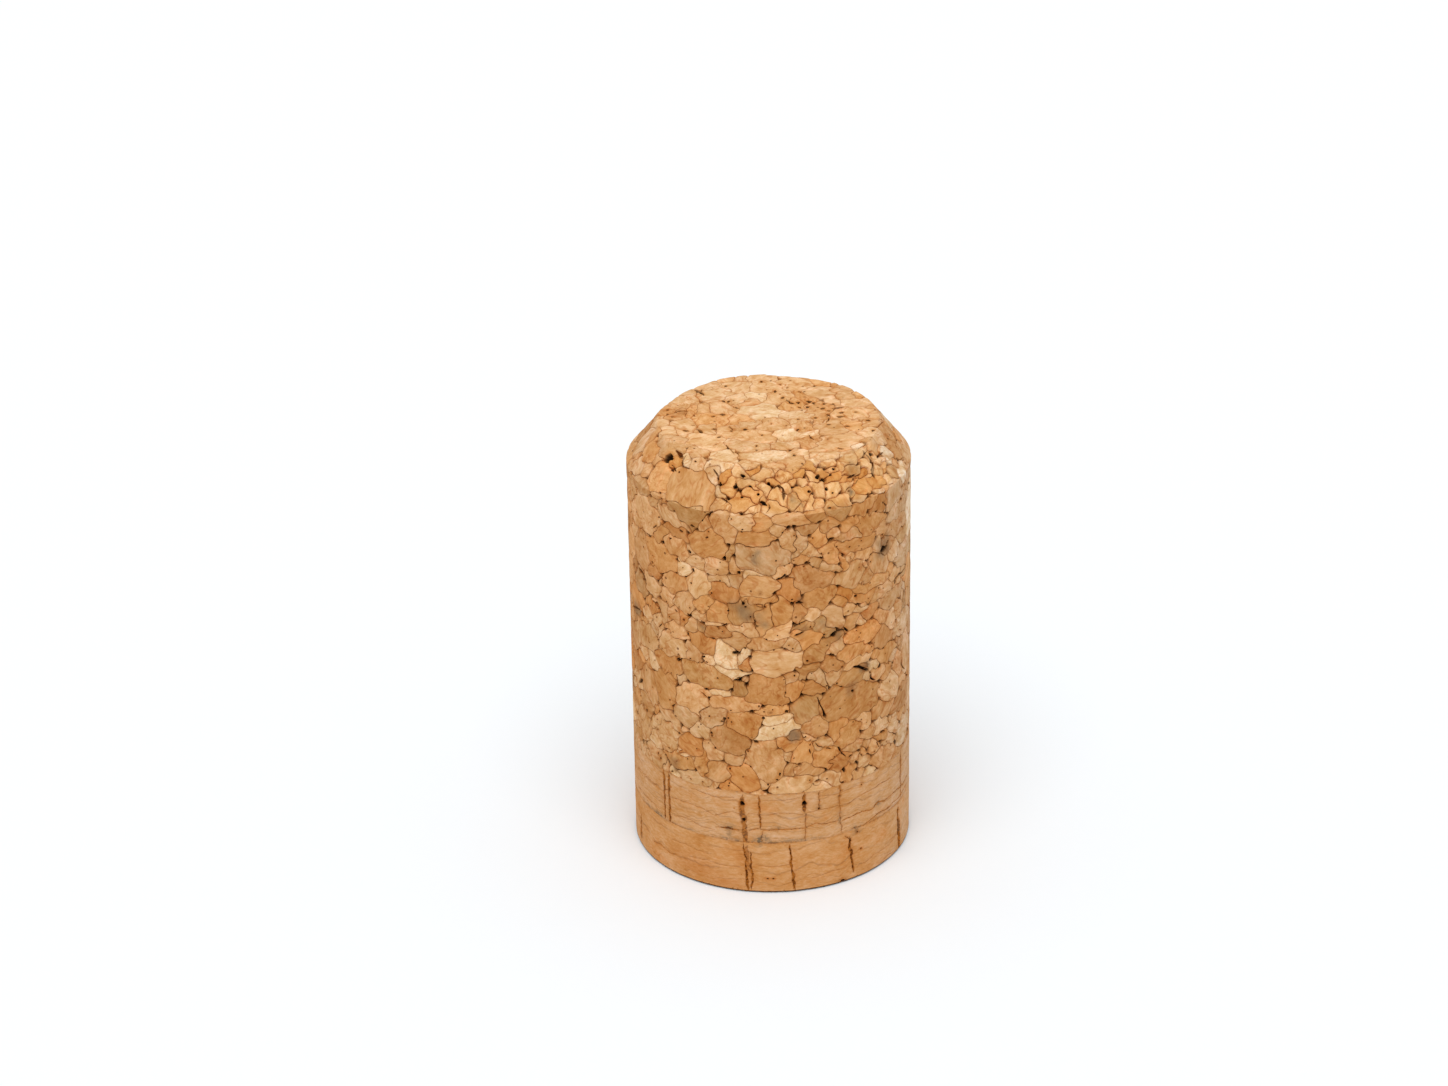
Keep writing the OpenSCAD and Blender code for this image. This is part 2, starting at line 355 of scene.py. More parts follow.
class Network:
    """The seams between granules: nodes on the plan, joined into chains."""

    # Share of the junctions that flare, how far along a seam that reaches, and share of the seams
    # that have a pale rim, a strong painted highlight
    FLARED = 0.36
    FLARE_REACH = 0.26
    HIGHLIGHT_RIMMED = 0.3

    def __init__(self, skin, granules, bend, pitch, spacing):
        w, tris, _ = triangulate(skin.plan(*lattice(skin, pitch)))
        s, a = skin.unplan(w)
        points = bend(skin.solid(s, a))
        label = nearest_granule(points, granules)
        edges, back = np.unique(triangle_sides(tris), axis=0, return_inverse=True)
        sides = back.reshape(3, -1).T
        mixed = label[edges[:, 0]] != label[edges[:, 1]]
        p, q = edges[mixed].T
        # Halves the span again and again to find where each edge leaves the first granule
        low, high = np.zeros(len(p)), np.ones(len(p))
        for _ in range(6):
            mid = (low + high) / 2
            at = points[p] + (points[q] - points[p]) * mid[:, None]
            inner = granule_pull(at, granules, label[p]) < granule_pull(at, granules, label[q])
            low, high = np.where(inner, mid, low), np.where(inner, high, mid)
        t = np.clip((low + high) / 2, 0.1, 0.9)
        node = np.full(len(edges), -1)
        node[mixed] = np.arange(mixed.sum())
        places = list(w[p] * (1 - t) + w[q] * t)
        links = [set() for _ in places]

        def join(i, j):
            links[i].add(j)
            links[j].add(i)

        for row in node[sides][(node[sides] >= 0).sum(1) > 1]:
            ends = row[row >= 0]
            if len(ends) == 2:
                join(*ends)
            else:
                places.append(np.mean([places[e] for e in ends]))
                links.append(set())
                for e in ends:
                    join(len(places) - 1, e)
        places = np.array(places)
        # Smooths the lines a little
        inner = [i for i, near in enumerate(links) if len(near) > 1]
        first = np.array([list(links[i])[0] for i in inner])
        second = np.array([list(links[i])[1] for i in inner])
        for _ in range(4):
            places[inner] = places[inner] / 2 + (places[first] + places[second]) / 4
        self.chains = [places[c] for c in self._walk(links)]
        self._lay(skin, spacing)

    @staticmethod
    def _walk(links):
        """Chains of node numbers, from junction to junction, and closed loops."""
        chains, used = [], set()
        starts = [i for i, near in enumerate(links) if len(near) not in (0, 2)]
        for start in starts + list(range(len(links))):
            for step in sorted(links[start]):
                if (start, step) in used or (len(links[start]) == 2 and start in used):
                    continue
                chain = [start, step]
                while len(links[chain[-1]]) == 2 and chain[-1] != start:
                    a, b = links[chain[-1]]
                    chain.append(b if a == chain[-2] else a)
                used.update(chain[1:-1])
                used.update([(chain[0], chain[1]), (chain[-1], chain[-2])])
                if len(links[start]) == 2:
                    used.add(start)
                chains.append(chain)
        return chains

    def _lay(self, skin, spacing):
        """Spaces the nodes evenly, and notes how far each is from its nearer junction."""
        nodes, links, notes, junctions = [], [], [], {}

        def junction(place):
            key = (round(place.real, 6), round(place.imag, 6))
            if key not in junctions:
                junctions[key] = len(nodes)
                nodes.append(place)
                notes.append((0j, 0.0, len(junctions) - 1, -1))
            return junctions[key]

        for number, line in enumerate(self.chains):
            run = skin.run(line)
            count = max(2 if run[-1] > 0.15 else 1, round(run[-1] / spacing))
            at = np.linspace(0, run[-1], count + 1)
            even = along_line(at, run, line)
            first, last = junction(line[0]), junction(line[-1])
            ids = [first]
            for k in range(1, count):
                ids.append(len(nodes))
                nodes.append(even[k])
                way = even[k + 1] - even[k - 1]
                end = notes[first if at[k] < run[-1] / 2 else last][2]
                notes.append((way / max(abs(way), 1e-12), min(at[k], run[-1] - at[k]), end, number))
            ids.append(last)
            links += list(zip(ids, ids[1:]))
        self.w = np.array(nodes)
        tangent, to_end, end, chain = zip(*notes)
        self.tangent, self.to_end = np.array(tangent), np.array(to_end)
        self.end, self.chain = np.array(end), np.array(chain)
        self.links = np.array(links)
        near = [[] for _ in nodes]
        for i, j in links:
            near[i].append(j)
            near[j].append(i)
        self.near = np.array([(row + [i, i, i])[:3] for i, row in enumerate(near)])
        self.s, self.angle = skin.unplan(self.w)

    def open_up(self, width, flare, tear, rng):
        """Gives each node a width, a depth and a darkness. Junctions flare into small gaps, and
        seams in torn ground gape."""
        breadth, strength, rough, haze, pale = rng.uniform(0, 1, (len(self.chains) + 1, 5))[self.chain].T
        chance, size = rng.uniform(0, 1, (self.end.max() + 2, 2))[self.end].T
        swell = np.sin(self.w.real * 3.1 + self.w.imag * 2.3) * 0.3 + 0.9
        torn = tear(self.s, self.angle)
        gap = np.where(chance < self.FLARED, size, 0) * np.exp(-(self.to_end / self.FLARE_REACH) ** 1.4)
        self.width = width * (0.5 + breadth ** 2) * swell * (1 + 0.1 * torn) + flare * gap
        self.depth = 0.06 + 0.6 * self.width + 0.35 * gap + 0.12 * torn * rough
        dark = (0.08 + 0.9 * strength ** 2) * (1 - 0.75 * torn)
        self.dark = np.clip(dark + 0.6 * gap * (1 - 0.4 * torn), 0, 1)
        # Wide gaps where seams meet get painted shade
        self.gap_shade = smooth(gap * 2 - 0.35 - 0.5 * torn)
        self.halo = 0.1 + 0.45 * haze ** 2 + 0.5 * gap
        # Some seams get a strong pale rim and the rest a faint one: painted highlights where a granule's
        # edge would catch the light
        self.rim = np.where(pale < self.HIGHLIGHT_RIMMED, 0.6, 0.1)


# --- Voids ----------------------------------------------------------------------------------------

class Void:
    """A hole in a skin: a rounded, pointed or ragged outline with steep walls.

    Shade is painted dark inside it, and it is brown instead where bark dust fills it.
    """

    # Voids up to this width get fewer rings of vertices
    SMALL = 0.36

    def __init__(self, skin, s, angle, long, wide=None, tilt=0.0, depth=None, dark=1.0, dust=0.0,
                 power=2.0, ragged=0.12, seed=0):
        self.w = skin.plan(s, angle)
        wide = wide or long
        self.skin, self.long, self.wide = skin, long, wide
        self.depth = 0.1 + 0.8 * wide if depth is None else depth
        self.power, self.ragged, self.dark, self.dust = power, ragged, dark, dust
        self.reach = 0.7 * max(long, wide)
        self.half = wide / 2
        self.ease = min(0.32, 0.13 / self.half)
        self.turn = np.exp(1j * math.radians(tilt))
        self.lobes = np.random.default_rng(seed + 7000).uniform(0, 2 * np.pi, 4)

    def edge(self, bearing):
        """How far out the outline lies on a bearing, for a void of radius 1."""
        c, s = np.abs(np.cos(bearing)), np.abs(np.sin(bearing))
        even = (c ** self.power + s ** self.power) ** (-1 / self.power)
        waves = sum(np.sin(m * bearing + lobe) / m for m, lobe in zip((2, 3, 5, 7), self.lobes))
        return even * (1 + self.ragged * waves * 2)

    def points(self):
        """Places of the plan that carry the outline, its walls and its floor."""
        count = int(np.clip((self.long + self.wide) * 13, 8, 40))
        bearing = np.arange(count) * 2 * np.pi / count
        rings = (1.3, 1.02, 0.7)
        if self.wide > self.SMALL:
            rings = (1.25, 1.02, 1.02 - 0.35 * self.ease, 1.02 - self.ease, 0.6, 0.3)
        out = [np.array([self.w])]
        for ring in rings:
            e = self.edge(bearing) * ring * np.exp(1j * bearing)
            local = (e.real * self.long / 2 + 1j * e.imag * self.wide / 2) * self.turn
            out.append(self.skin.shift(np.full(count, self.w), local.real, local.imag))
        return np.concatenate(out)

    def share(self, w):
        """How far out places lie in the void: 1 on its outline, and less inside it."""
        off = (w - self.w) / self.skin.scale(self.w)
        local = off * abs(self.w) / (1j * self.w) / self.turn
        x, y = local.real / (self.long / 2), local.imag / (self.wide / 2)
        return np.hypot(x, y) / self.edge(np.arctan2(y, x))


class Slit:
    """A narrow slit along a line of places (distance, angle, width), such as a crack, with shade painted
    inside it.
    """

    # Spacing of its points along the line, and the least half width
    STEP = 0.2
    THIN = 0.018

    def __init__(self, skin, line, depth=None, dark=1.0, dust=0.0, wander=0.03, seed=0):
        line = np.array(line, float)
        rough = skin.plan(line[:, 0], line[:, 1])
        run = skin.run(rough)
        at = np.linspace(0, run[-1], max(3, round(run[-1] / self.STEP)) + 1)
        rng = np.random.default_rng(seed + 9000)
        shake = np.convolve(rng.normal(0, 1, len(at) + 2), [0.25, 0.5, 0.25], "valid")
        swell = 1 + 0.3 * np.convolve(rng.normal(0, 1, len(at) + 2), [0.3, 0.4, 0.3], "valid")
        ends = smooth(np.minimum(at, run[-1] - at) / 0.3 + 0.15)
        halves = np.interp(at, run, line[:, 2]) / 2 * np.clip(swell, 0.5, 1.6) * ends
        self.halves = np.maximum(halves, self.THIN)
        self.half, self.ease = self.halves.max(), 0.32
        w = along_line(at, run, rough)
        way = np.gradient(w)
        self.normal = 1j * way / np.abs(way) * skin.scale(w)
        self.line = w + self.normal * shake * wander
        self.skin, self.dark, self.dust = skin, dark, dust
        self.depth = 0.1 + 0.9 * 2 * self.half if depth is None else depth
        self.w = (self.line[0] + self.line[-1]) / 2
        self.reach = (np.abs(self.line - self.w) / skin.scale(self.w)).max() + self.half

    def points(self):
        """Places of the plan that carry the edges, the walls and the floor."""
        rows = (0, 0.7, 1.05, 1.4) if self.half > 0.1 else (0, 1.05)
        out = []
        for row in rows:
            for side in ((1, -1) if row else (1,)):
                gap = self.halves * row + (0.04 if row > 1.3 else 0)
                out.append(self.line + side * gap * self.normal)
        return np.concatenate(out)

    def share(self, w):
        """How far out places lie in the slit: 1 on its edge, and less inside it."""
        best = np.full(len(w), 99.0)
        scale = self.skin.scale(self.w)
        for a, b, h0, h1 in zip(self.line, self.line[1:], self.halves, self.halves[1:]):
            d = b - a
            t = np.clip(((w - a) * np.conj(d)).real / abs(d) ** 2, 0, 1)
            best = np.minimum(best, np.abs(w - a - t * d) / scale / (h0 + (h1 - h0) * t))
        return best


# --- Meshes ---------------------------------------------------------------------------------------

def regions(count, pairs):
    """The region number of each triangle, where pairs of triangles share a region."""
    label = np.arange(count)
    while True:
        ends = label[pairs]
        low = ends.min(1)
        new = label.copy()
        np.minimum.at(new, ends[:, 0], low)
        np.minimum.at(new, ends[:, 1], low)
        new = new[new]
        new = new[new]
        if (new == label).all():
            return np.unique(label, return_inverse=True)[1]
        label = new


def segment_gap(w, a, b):
    """Distance from places of the plan to the segments from a to b."""
    d = b - a
    t = np.clip(((w - a) * np.conj(d)).real / np.maximum(np.abs(d) ** 2, 1e-18), 0, 1)
    return np.abs(w - a - t * d)


class Shell:
    """A triangulated skin with seams and voids, ready to become a mesh."""

    def __init__(self, skin, pitch, rng, network=None, voids=(), extra=()):
        self.skin, self.network, self.voids = skin, network, voids
        rows, links = self._seam_places() if network else ([], [])
        rows += [void.points() for void in voids]
        rows += extra
        first = sum(len(row) for row in rows)
        creases = skin.start[1:-1]
        for crease in creases:
            count = int(2 * np.pi * float(skin.radius(crease)) / pitch)
            rows.append(skin.ring(crease, count))
            ids = first + np.arange(count)
            links += zip(ids, np.roll(ids, -1))
            first += count
        fill = skin.plan(*lattice(skin, pitch, 0.28, rng))
        s, _ = skin.unplan(fill)
        free = self._clear(fill)
        for crease in creases:
            free &= np.abs(s - crease) > 0.45 * pitch
        on_rim = (s < 1e-6) | ((s > skin.total - 1e-6) & (not skin.closed))
        rows.append(fill[free | on_rim])
        w = np.concatenate(rows)
        # Only the seams' own points and the lattice may come this near to the edges of the skin
        keep = (np.abs(w) <= skin.outer * 0.9995) & (np.abs(w) >= skin.inner * 1.0005)
        keep[len(w) - len(rows[-1]):] = True
        if network:
            keep[:len(network.w)] = True
        number = np.cumsum(keep) - 1
        links = [(number[i], number[j]) for i, j in links if keep[i] and keep[j]]
        self.w, self.tris, self.region = self._cut(w[keep], links)
        self.s, self.angle = skin.unplan(self.w)

    def _seam_places(self):
        """Places along the seams and on both sides of them, and the links along the seams."""
        net = self.network
        rows = [net.w]
        for side in (-1, 1):
            for beyond in (0.0, 0.1):
                off = side * (net.width / 2 + beyond) * self.skin.scale(net.w) * 1j * net.tangent
                rows.append((net.w + off)[net.chain >= 0])
        self.tree = kdtree.KDTree(len(net.w))
        for i, z in enumerate(net.w):
            self.tree.insert((z.real, z.imag, 0), i)
        self.tree.balance()
        return rows, net.links.tolist()

    def _clear(self, fill):
        """Which places of the lattice lie clear of the seams and the voids."""
        clear = np.ones(len(fill), bool)
        if self.network:
            room = (self.network.width / 2 + 0.2) * self.skin.scale(self.network.w)
            for i, z in enumerate(fill):
                _, node, gap = self.tree.find((z.real, z.imag, 0))
                clear[i] = gap > room[node]
        for void in self.voids:
            reach = (1.4 * void.reach + 0.3) * self.skin.scale(void.w)
            close = np.flatnonzero(np.abs(fill - void.w) < reach)
            clear[close[void.share(fill[close]) < 1.35]] = False
        return clear

    def _cut(self, w, links):
        """Triangulates the places, and numbers the regions that links wall in."""
        placed, tris, walls = triangulate(w, links, 1e-7)
        tris = tris[~(np.abs(placed[tris]) < self.skin.inner * 1.00001).all(1)]
        a, b, c = placed[tris].T
        area = (b - a).real * (c - a).imag - (b - a).imag * (c - a).real
        tris[area < 0] = tris[area < 0][:, ::-1]
        tris = tris[np.abs(area) > 1e-12]
        # One number for each side, so that the two triangles at a side come next to each other
        as_one = [len(placed) + 1, 1]
        code = triangle_sides(tris) @ as_one
        order = np.argsort(code, kind="stable")
        code = code[order]
        open_side = (code[1:] == code[:-1]) & ~np.isin(code[1:], walls @ as_one)
        owner = np.tile(np.arange(len(tris)), 3)[order]
        pairs = np.stack([owner[:-1][open_side], owner[1:][open_side]], 1)
        return placed, tris, regions(len(tris), pairs)

    def seam_gap(self):
        """Each vertex's distance to the nearest seam in millimetres, and the nearest node."""
        net = self.network
        node = np.array([self.tree.find((z.real, z.imag, 0))[1] for z in self.w])
        gap = np.min([segment_gap(self.w, net.w[node], net.w[near]) for near in net.near[node].T], axis=0)
        return gap / self.skin.scale(self.w), node

    def hollow_out(self, lift):
        """Sinks the voids into lift, and gives for each vertex how much shade is painted into the voids,
        how dusty they make it, and how brown the ring round them makes it: painted shade round dark
        voids, and dust round dusty ones."""
        dark, dust, brown = np.zeros((3, len(self.w)))
        for void in self.voids:
            scale = self.skin.scale(void.w)
            near = np.flatnonzero(np.abs(self.w - void.w) < (1.2 * void.reach + 0.5) * scale)
            share = void.share(self.w[near])
            into = smooth((1.03 - share) / void.ease)
            beyond = (share - 1).clip(0) * void.half / (0.12 + 0.25 * void.half)
            # A brown ring round each void: painted shade round a dark void, and dust round a dusty one
            brown[near] = np.maximum(brown[near], max(void.dark, 0.5 * void.dust) * np.exp(-beyond ** 2))
            lift[near] = np.minimum(lift[near], lift[near] * (1 - into) - void.depth * into)
            # Painted shade inside the void, as strong as its darkness
            soon = smooth((1.03 - share) / (0.5 * void.ease))
            dark[near] = np.maximum(dark[near], soon * void.dark)
            dust[near] = np.maximum(dust[near], soon * void.dust)
        return dark, dust, brown

    def region_granules(self, label):
        """The granule of each region, by the vote of its vertices."""
        count = self.region.max() + 1
        code = np.repeat(self.region, 3) * 100000 + label[self.tris].ravel()
        kinds, numbers = np.unique(code, return_counts=True)
        order = np.lexsort((-numbers, kinds // 100000))
        region, first = np.unique((kinds // 100000)[order], return_index=True)
        winner = np.zeros(count, int)
        winner[region] = (kinds % 100000)[order][first]
        return winner

    def build(self, name, lift, points, corners, sag=None):
        """The Blender object: the skin raised by lift, closed at its open rims.

        points and corners hold the named values of vertices and of triangles' corners.
        """
        solid = self.skin.solid(self.s, self.angle, lift)
        if sag:
            solid = sag(solid)
        verts, faces = self._closed(solid)
        mesh = bpy.data.meshes.new(name)
        mesh.vertices.add(len(verts))
        mesh.vertices.foreach_set("co", verts.ravel())
        mesh.loops.add(faces.size)
        mesh.loops.foreach_set("vertex_index", faces.ravel())
        mesh.polygons.add(len(faces))
        mesh.polygons.foreach_set("loop_start", np.arange(0, faces.size, 3))
        mesh.polygons.foreach_set("use_smooth", np.ones(len(faces), bool))
        mesh.update(calc_edges=True)
        for key, values in points.items():
            layer = mesh.attributes.new(key, "FLOAT", "POINT")
            layer.data.foreach_set("value", np.append(values, np.zeros(len(verts) - len(values))))
        for key, values in corners.items():
            kind, slot = ("FLOAT_COLOR", "color") if values.shape[1] == 4 else ("FLOAT_VECTOR", "vector")
            if self.skin.side < 0:
                values = values.reshape(-1, 3, values.shape[1])[:, ::-1].reshape(-1, values.shape[1])
            rest = np.tile(values[:1], (faces.size - len(values), 1))
            layer = mesh.attributes.new(key, kind, "CORNER")
            layer.data.foreach_set(slot, np.concatenate([values, rest]).ravel())
        mesh.set_sharp_from_angle(angle=math.radians(55))
        self._sharpen_creases(mesh)
        thing = bpy.data.objects.new(name, mesh)
        bpy.context.scene.collection.objects.link(thing)
        return thing

    def _closed(self, solid):
        """The vertices in metres and the faces of the skin, with a fan over each open rim."""
        skin, reach = self.skin, np.abs(self.w)
        rims = [reach > skin.outer * 0.99999]
        if not skin.closed:
            rims.append(reach < skin.inner * 1.00001)
        verts = [solid]
        faces = [self.tris if skin.side > 0 else self.tris[:, ::-1]]
        for k, rim in enumerate(rims):
            ids = np.flatnonzero(rim)
            ids = ids[np.argsort(self.angle[ids])]
            fan = np.stack([np.roll(ids, -1), ids, np.full(len(ids), len(solid) + k)], 1)
            verts.append([[0, 0, solid[ids, 2].mean()]])
            faces.append(fan if (k == 0) == (skin.side > 0) else fan[:, ::-1])
        return np.concatenate(verts) * MM, np.concatenate(faces)

    def _sharpen_creases(self, mesh):
        """Makes the edges at the corners of the skin's path sharp."""
        ends = np.empty(2 * len(mesh.edges), int)
        mesh.edges.foreach_get("vertices", ends)
        # The middles of the fans lie on no crease
        s = np.append(self.s, np.full(len(mesh.vertices) - len(self.s), np.inf))[ends.reshape(-1, 2)]
        for crease in self.skin.start[1:-1]:
            for edge in np.flatnonzero(np.abs(s - crease).max(1) < 1e-4):
                mesh.edges[int(edge)].use_edge_sharp = True


# --- Finishes -------------------------------------------------------------------------------------

class Nodes:
    """Adds nodes to a tree in short calls. A value that is a socket is linked, any other is set."""

    def __init__(self, tree):
        self.tree = tree

    def fill(self, socket, value):
        if isinstance(value, bpy.types.NodeSocket):
            self.tree.links.new(value, socket)
        else:
            socket.default_value = value

    def add(self, kind, inputs=None, **settings):
        node = self.tree.nodes.new("ShaderNode" + kind)
        for key, value in settings.items():
            setattr(node, key, value)
        for key, value in (inputs or {}).items():
            self.fill(node.inputs[key], value)
        return node

    def math(self, operation, a, b=0.0, clamp=False):
        return self.add("Math", {0: a, 1: b}, operation=operation, use_clamp=clamp).outputs[0]

    def plus(self, a, b):
        return self.math("ADD", a, b)

    def times(self, a, b, clamp=False):
        return self.math("MULTIPLY", a, b, clamp)

    def swing(self, value, amount):
        """A value round a half, as a swing of an amount to either side of 0."""
        return self.times(self.math("SUBTRACT", value, 0.5), amount)

    def ridge(self, value):
        """How far a value is from a half."""
        return self.math("ABSOLUTE", self.math("SUBTRACT", value, 0.5))

    def span(self, value, low, high, to_low=0.0, to_high=1.0):
        """A value stretched from one span onto another, with eased ends."""
        return self.add("MapRange", {0: value, 1: low, 2: high, 3: to_low, 4: to_high},
                        interpolation_type="SMOOTHSTEP").outputs[0]

    def mix(self, factor, a, b, blend="MIX"):
        return self.add("Mix", {0: factor, 6: a, 7: b}, data_type="RGBA", blend_type=blend).outputs[2]

    def tinted(self, factor, a, b):
        return self.mix(factor, a, b, "MULTIPLY")

    def noise(self, vector, scale, detail=3.0, roughness=0.55, distortion=0.0):
        return self.add("TexNoise", {"Vector": vector, "Scale": scale, "Detail": detail,
                                     "Roughness": roughness, "Distortion": distortion}).outputs[0]

    def vector(self, x, y, z):
        return self.add("CombineXYZ", {0: x, 1: y, 2: z}).outputs[0]

    def stretch(self, vector, scale):
        return self.add("VectorMath", {0: vector, 1: scale}, operation="MULTIPLY").outputs[0]

    def named(self, name, output="Fac"):
        return self.add("Attribute", attribute_name=name).outputs[output]

    def group(self, name, maker, inputs):
        """The outputs of a shared node group, which is made the first time it is placed."""
        return self.add("Group", inputs, node_tree=bpy.data.node_groups.get(name) or maker()).outputs

    def bump(self, height, strength, distance):
        return self.add("Bump", {"Height": height, "Strength": strength, "Distance": distance}).outputs[0]


def node_group(name, inputs, outputs):
    """An empty shader node group, with its Nodes, its inputs and its output node.

    An input gives the kind of its socket, or the default of a plain number.
    """
    tree = bpy.data.node_groups.new(name, "ShaderNodeTree")
    for label, given in inputs.items():
        kind = given if isinstance(given, str) else "Float"
        socket = tree.interface.new_socket(label, in_out="INPUT", socket_type="NodeSocket" + kind)
        if given != kind:
            socket.default_value = given
    for label, kind in outputs.items():
        tree.interface.new_socket(label, in_out="OUTPUT", socket_type="NodeSocket" + kind)
    ends = [tree.nodes.new("NodeGroup" + end) for end in ("Input", "Output")]
    return tree, Nodes(tree), ends[0].outputs, ends[1].inputs


def tint_of(n, value, green, blue):
    """A tint from a value near 1: cork is more orange where it is darker, and creamier where paler."""
    return n.add("CombineColor", {0: value, 1: n.math("POWER", value, green),
                                  2: n.math("POWER", value, blue)}).outputs[0]


def grain_group():
    """Soft clouds, streaks that run one way and a fine tooth, as cut cork cells show."""
    tree, n, given, out = node_group(
        "Cork Grain",
        {"Vector": "Vector", "Streak Length": 3.0, "Streak Strength": 0.5, "Cloud Strength": 0.5},
        {"Tint": "Color", "Line": "Float", "Height": "Float"})
    vector, strength = given["Vector"], given["Streak Strength"]
    along = n.stretch(vector, n.vector(n.math("DIVIDE", 1.0, given["Streak Length"]), 1.0, 1.0))
    streak = n.swing(n.noise(along, 1.7, 3.0, 0.55, 1.0), strength)
    fine = n.swing(n.noise(along, 5.0, 3.0, 0.6, 0.4), n.times(strength, 0.4))
    cloud = n.swing(n.noise(vector, 0.5, 2.0, 0.5, 0.6), given["Cloud Strength"])
    cells = n.swing(n.noise(vector, 14.0, 2.0, 0.7), 0.16)
    total = n.plus(n.plus(streak, fine), n.plus(cloud, cells))
    n.fill(out["Tint"], tint_of(n, n.plus(total, 1.0), 1.8, 3.2))
    line = n.span(n.ridge(n.noise(along, 0.8, 2.0, 0.5, 0.8)), 0.06, 0.0)
    broken = n.span(n.noise(vector, 0.7, 2.0, 0.5), 0.38, 0.58)
    n.fill(out["Line"], n.times(line, broken))
    n.fill(out["Height"], n.plus(fine, n.times(cells, 2.0)))
    return tree


def pinhole_group():
    """Small dark pits, scattered one to a cell, of which a share is filled in."""
    tree, n, given, out = node_group(
        "Pinholes", {"Vector": "Vector", "Per Millimetre": 1.0, "Size": 0.1, "Share": 0.3},
        {"Mask": "Float"})
    cell = n.add("TexVoronoi", {"Vector": given["Vector"], "Scale": given["Per Millimetre"]}, feature="F1")
    draw = n.add("SeparateColor", {0: cell.outputs["Color"]}).outputs
    size = n.times(given["Size"], n.plus(n.times(draw[1], 1.1), 0.4))
    inside = n.span(n.math("DIVIDE", cell.outputs["Distance"], size), 1.0, 0.55)
    n.fill(out["Mask"], n.times(inside, n.math("LESS_THAN", draw[0], given["Share"])))
    return tree


def stain_group():
    """A soft stain in patches, such as the grey of old bark or the brown of a handled edge."""
    tree, n, given, out = node_group(
        "Soft Stain",
        {"Color": "Color", "Stain": "Color", "Vector": "Vector", "Scale": 0.3, "Amount": 0.4},
        {"Color": "Color"})
    patch = n.span(n.noise(given["Vector"], given["Scale"], 4.0, 0.65, 0.6), 0.52, 0.74)
    n.fill(out["Color"], n.tinted(n.times(patch, given["Amount"]), given["Color"], given["Stain"]))
    return tree


def hollow_group():
    """Colours the seams of a cork surface, paints shade into its hollows and paints highlights on the pale
    rims beside seams.
    """
    tree, n, given, out = node_group(
        "Seams with Painted Shade",
        {"Color": "Color", "Seam Color": "Color", "Hollow Color": "Color", "Seam": 0.0, "Rim": 0.0,
         "Halo": 0.0, "Hollow": 0.0},
        {"Color": "Color"})
    haloed = n.tinted(given["Halo"], given["Color"], (0.84, 0.62, 0.38, 1))
    # The rims get a painted highlight
    rimmed = n.tinted(given["Rim"], haloed, (1.09, 1.2, 1.42, 1))
    seamed = n.mix(given["Seam"], rimmed, given["Seam Color"])
    # The hollows get painted shade
    n.fill(out["Color"], n.mix(given["Hollow"], seamed, given["Hollow Color"]))
    return tree


def matte_material(name, roughness=0.9, specular=0.06):
    """A new material, its Nodes and the inputs of its shader."""
    material = bpy.data.materials.new(name)
    material.use_nodes = True
    shader = material.node_tree.nodes["Principled BSDF"].inputs
    shader["Roughness"].default_value = roughness
    shader["Specular IOR Level"].default_value = specular
    return material, Nodes(material.node_tree), shader


def granule_material(look):
    """Glued cork granules. The mesh gives each granule its tone and its own grain direction."""
    material, n, shader = matte_material("Agglomerated cork")
    grain = n.named("grain", "Vector")
    place = n.stretch(n.add("TexCoord").outputs["Object"], (1 / MM, 1 / MM, 1 / MM))
    cork = n.group("Cork Grain", grain_group, {"Vector": grain, "Streak Length": 2.6,
                                               "Streak Strength": 0.55, "Cloud Strength": 0.55})
    tone = n.tinted(1.0, n.named("tone", "Color"), cork["Tint"])
    tone = n.tinted(n.times(cork["Line"], 0.8), tone, (0.78, 0.58, 0.42, 1))
    tone = n.mix(n.named("stain"), tone, (*look.stain, 1))
    tone = n.group("Soft Stain", stain_group, {"Color": tone, "Stain": (1.08, 0.86, 0.68, 1),
                                               "Vector": grain, "Scale": 0.5, "Amount": 0.6})["Color"]
    pits = n.group("Pinholes", pinhole_group, {"Vector": place, "Per Millimetre": 0.9, "Size": 0.11,
                                               "Share": 0.36})["Mask"]
    tone = n.mix(n.times(pits, 0.8), tone, (*look.seam, 1))
    faint = n.span(n.noise(place, 1.1, 3.0, 0.6), 0.36, 0.6, 0.25, 1.1)
    n.fill(shader["Base Color"], n.group("Seams with Painted Shade", hollow_group, {
        "Color": tone, "Seam Color": (*look.seam, 1), "Hollow Color": (*look.hollow_shade, 1),
        "Seam": n.times(n.named("seam"), faint, True), "Rim": n.named("rim"), "Halo": n.named("halo"),
        "Hollow": n.named("hollow_shade")})["Color"])
    crumbs = n.times(n.noise(place, 2.6, 4.0, 0.7), n.times(n.named("torn"), 1.6))
    height = n.plus(n.math("SUBTRACT", cork["Height"], n.times(pits, 0.8)), crumbs)
    n.fill(shader["Normal"], n.bump(height, 0.6, 0.07 * MM))
    return material


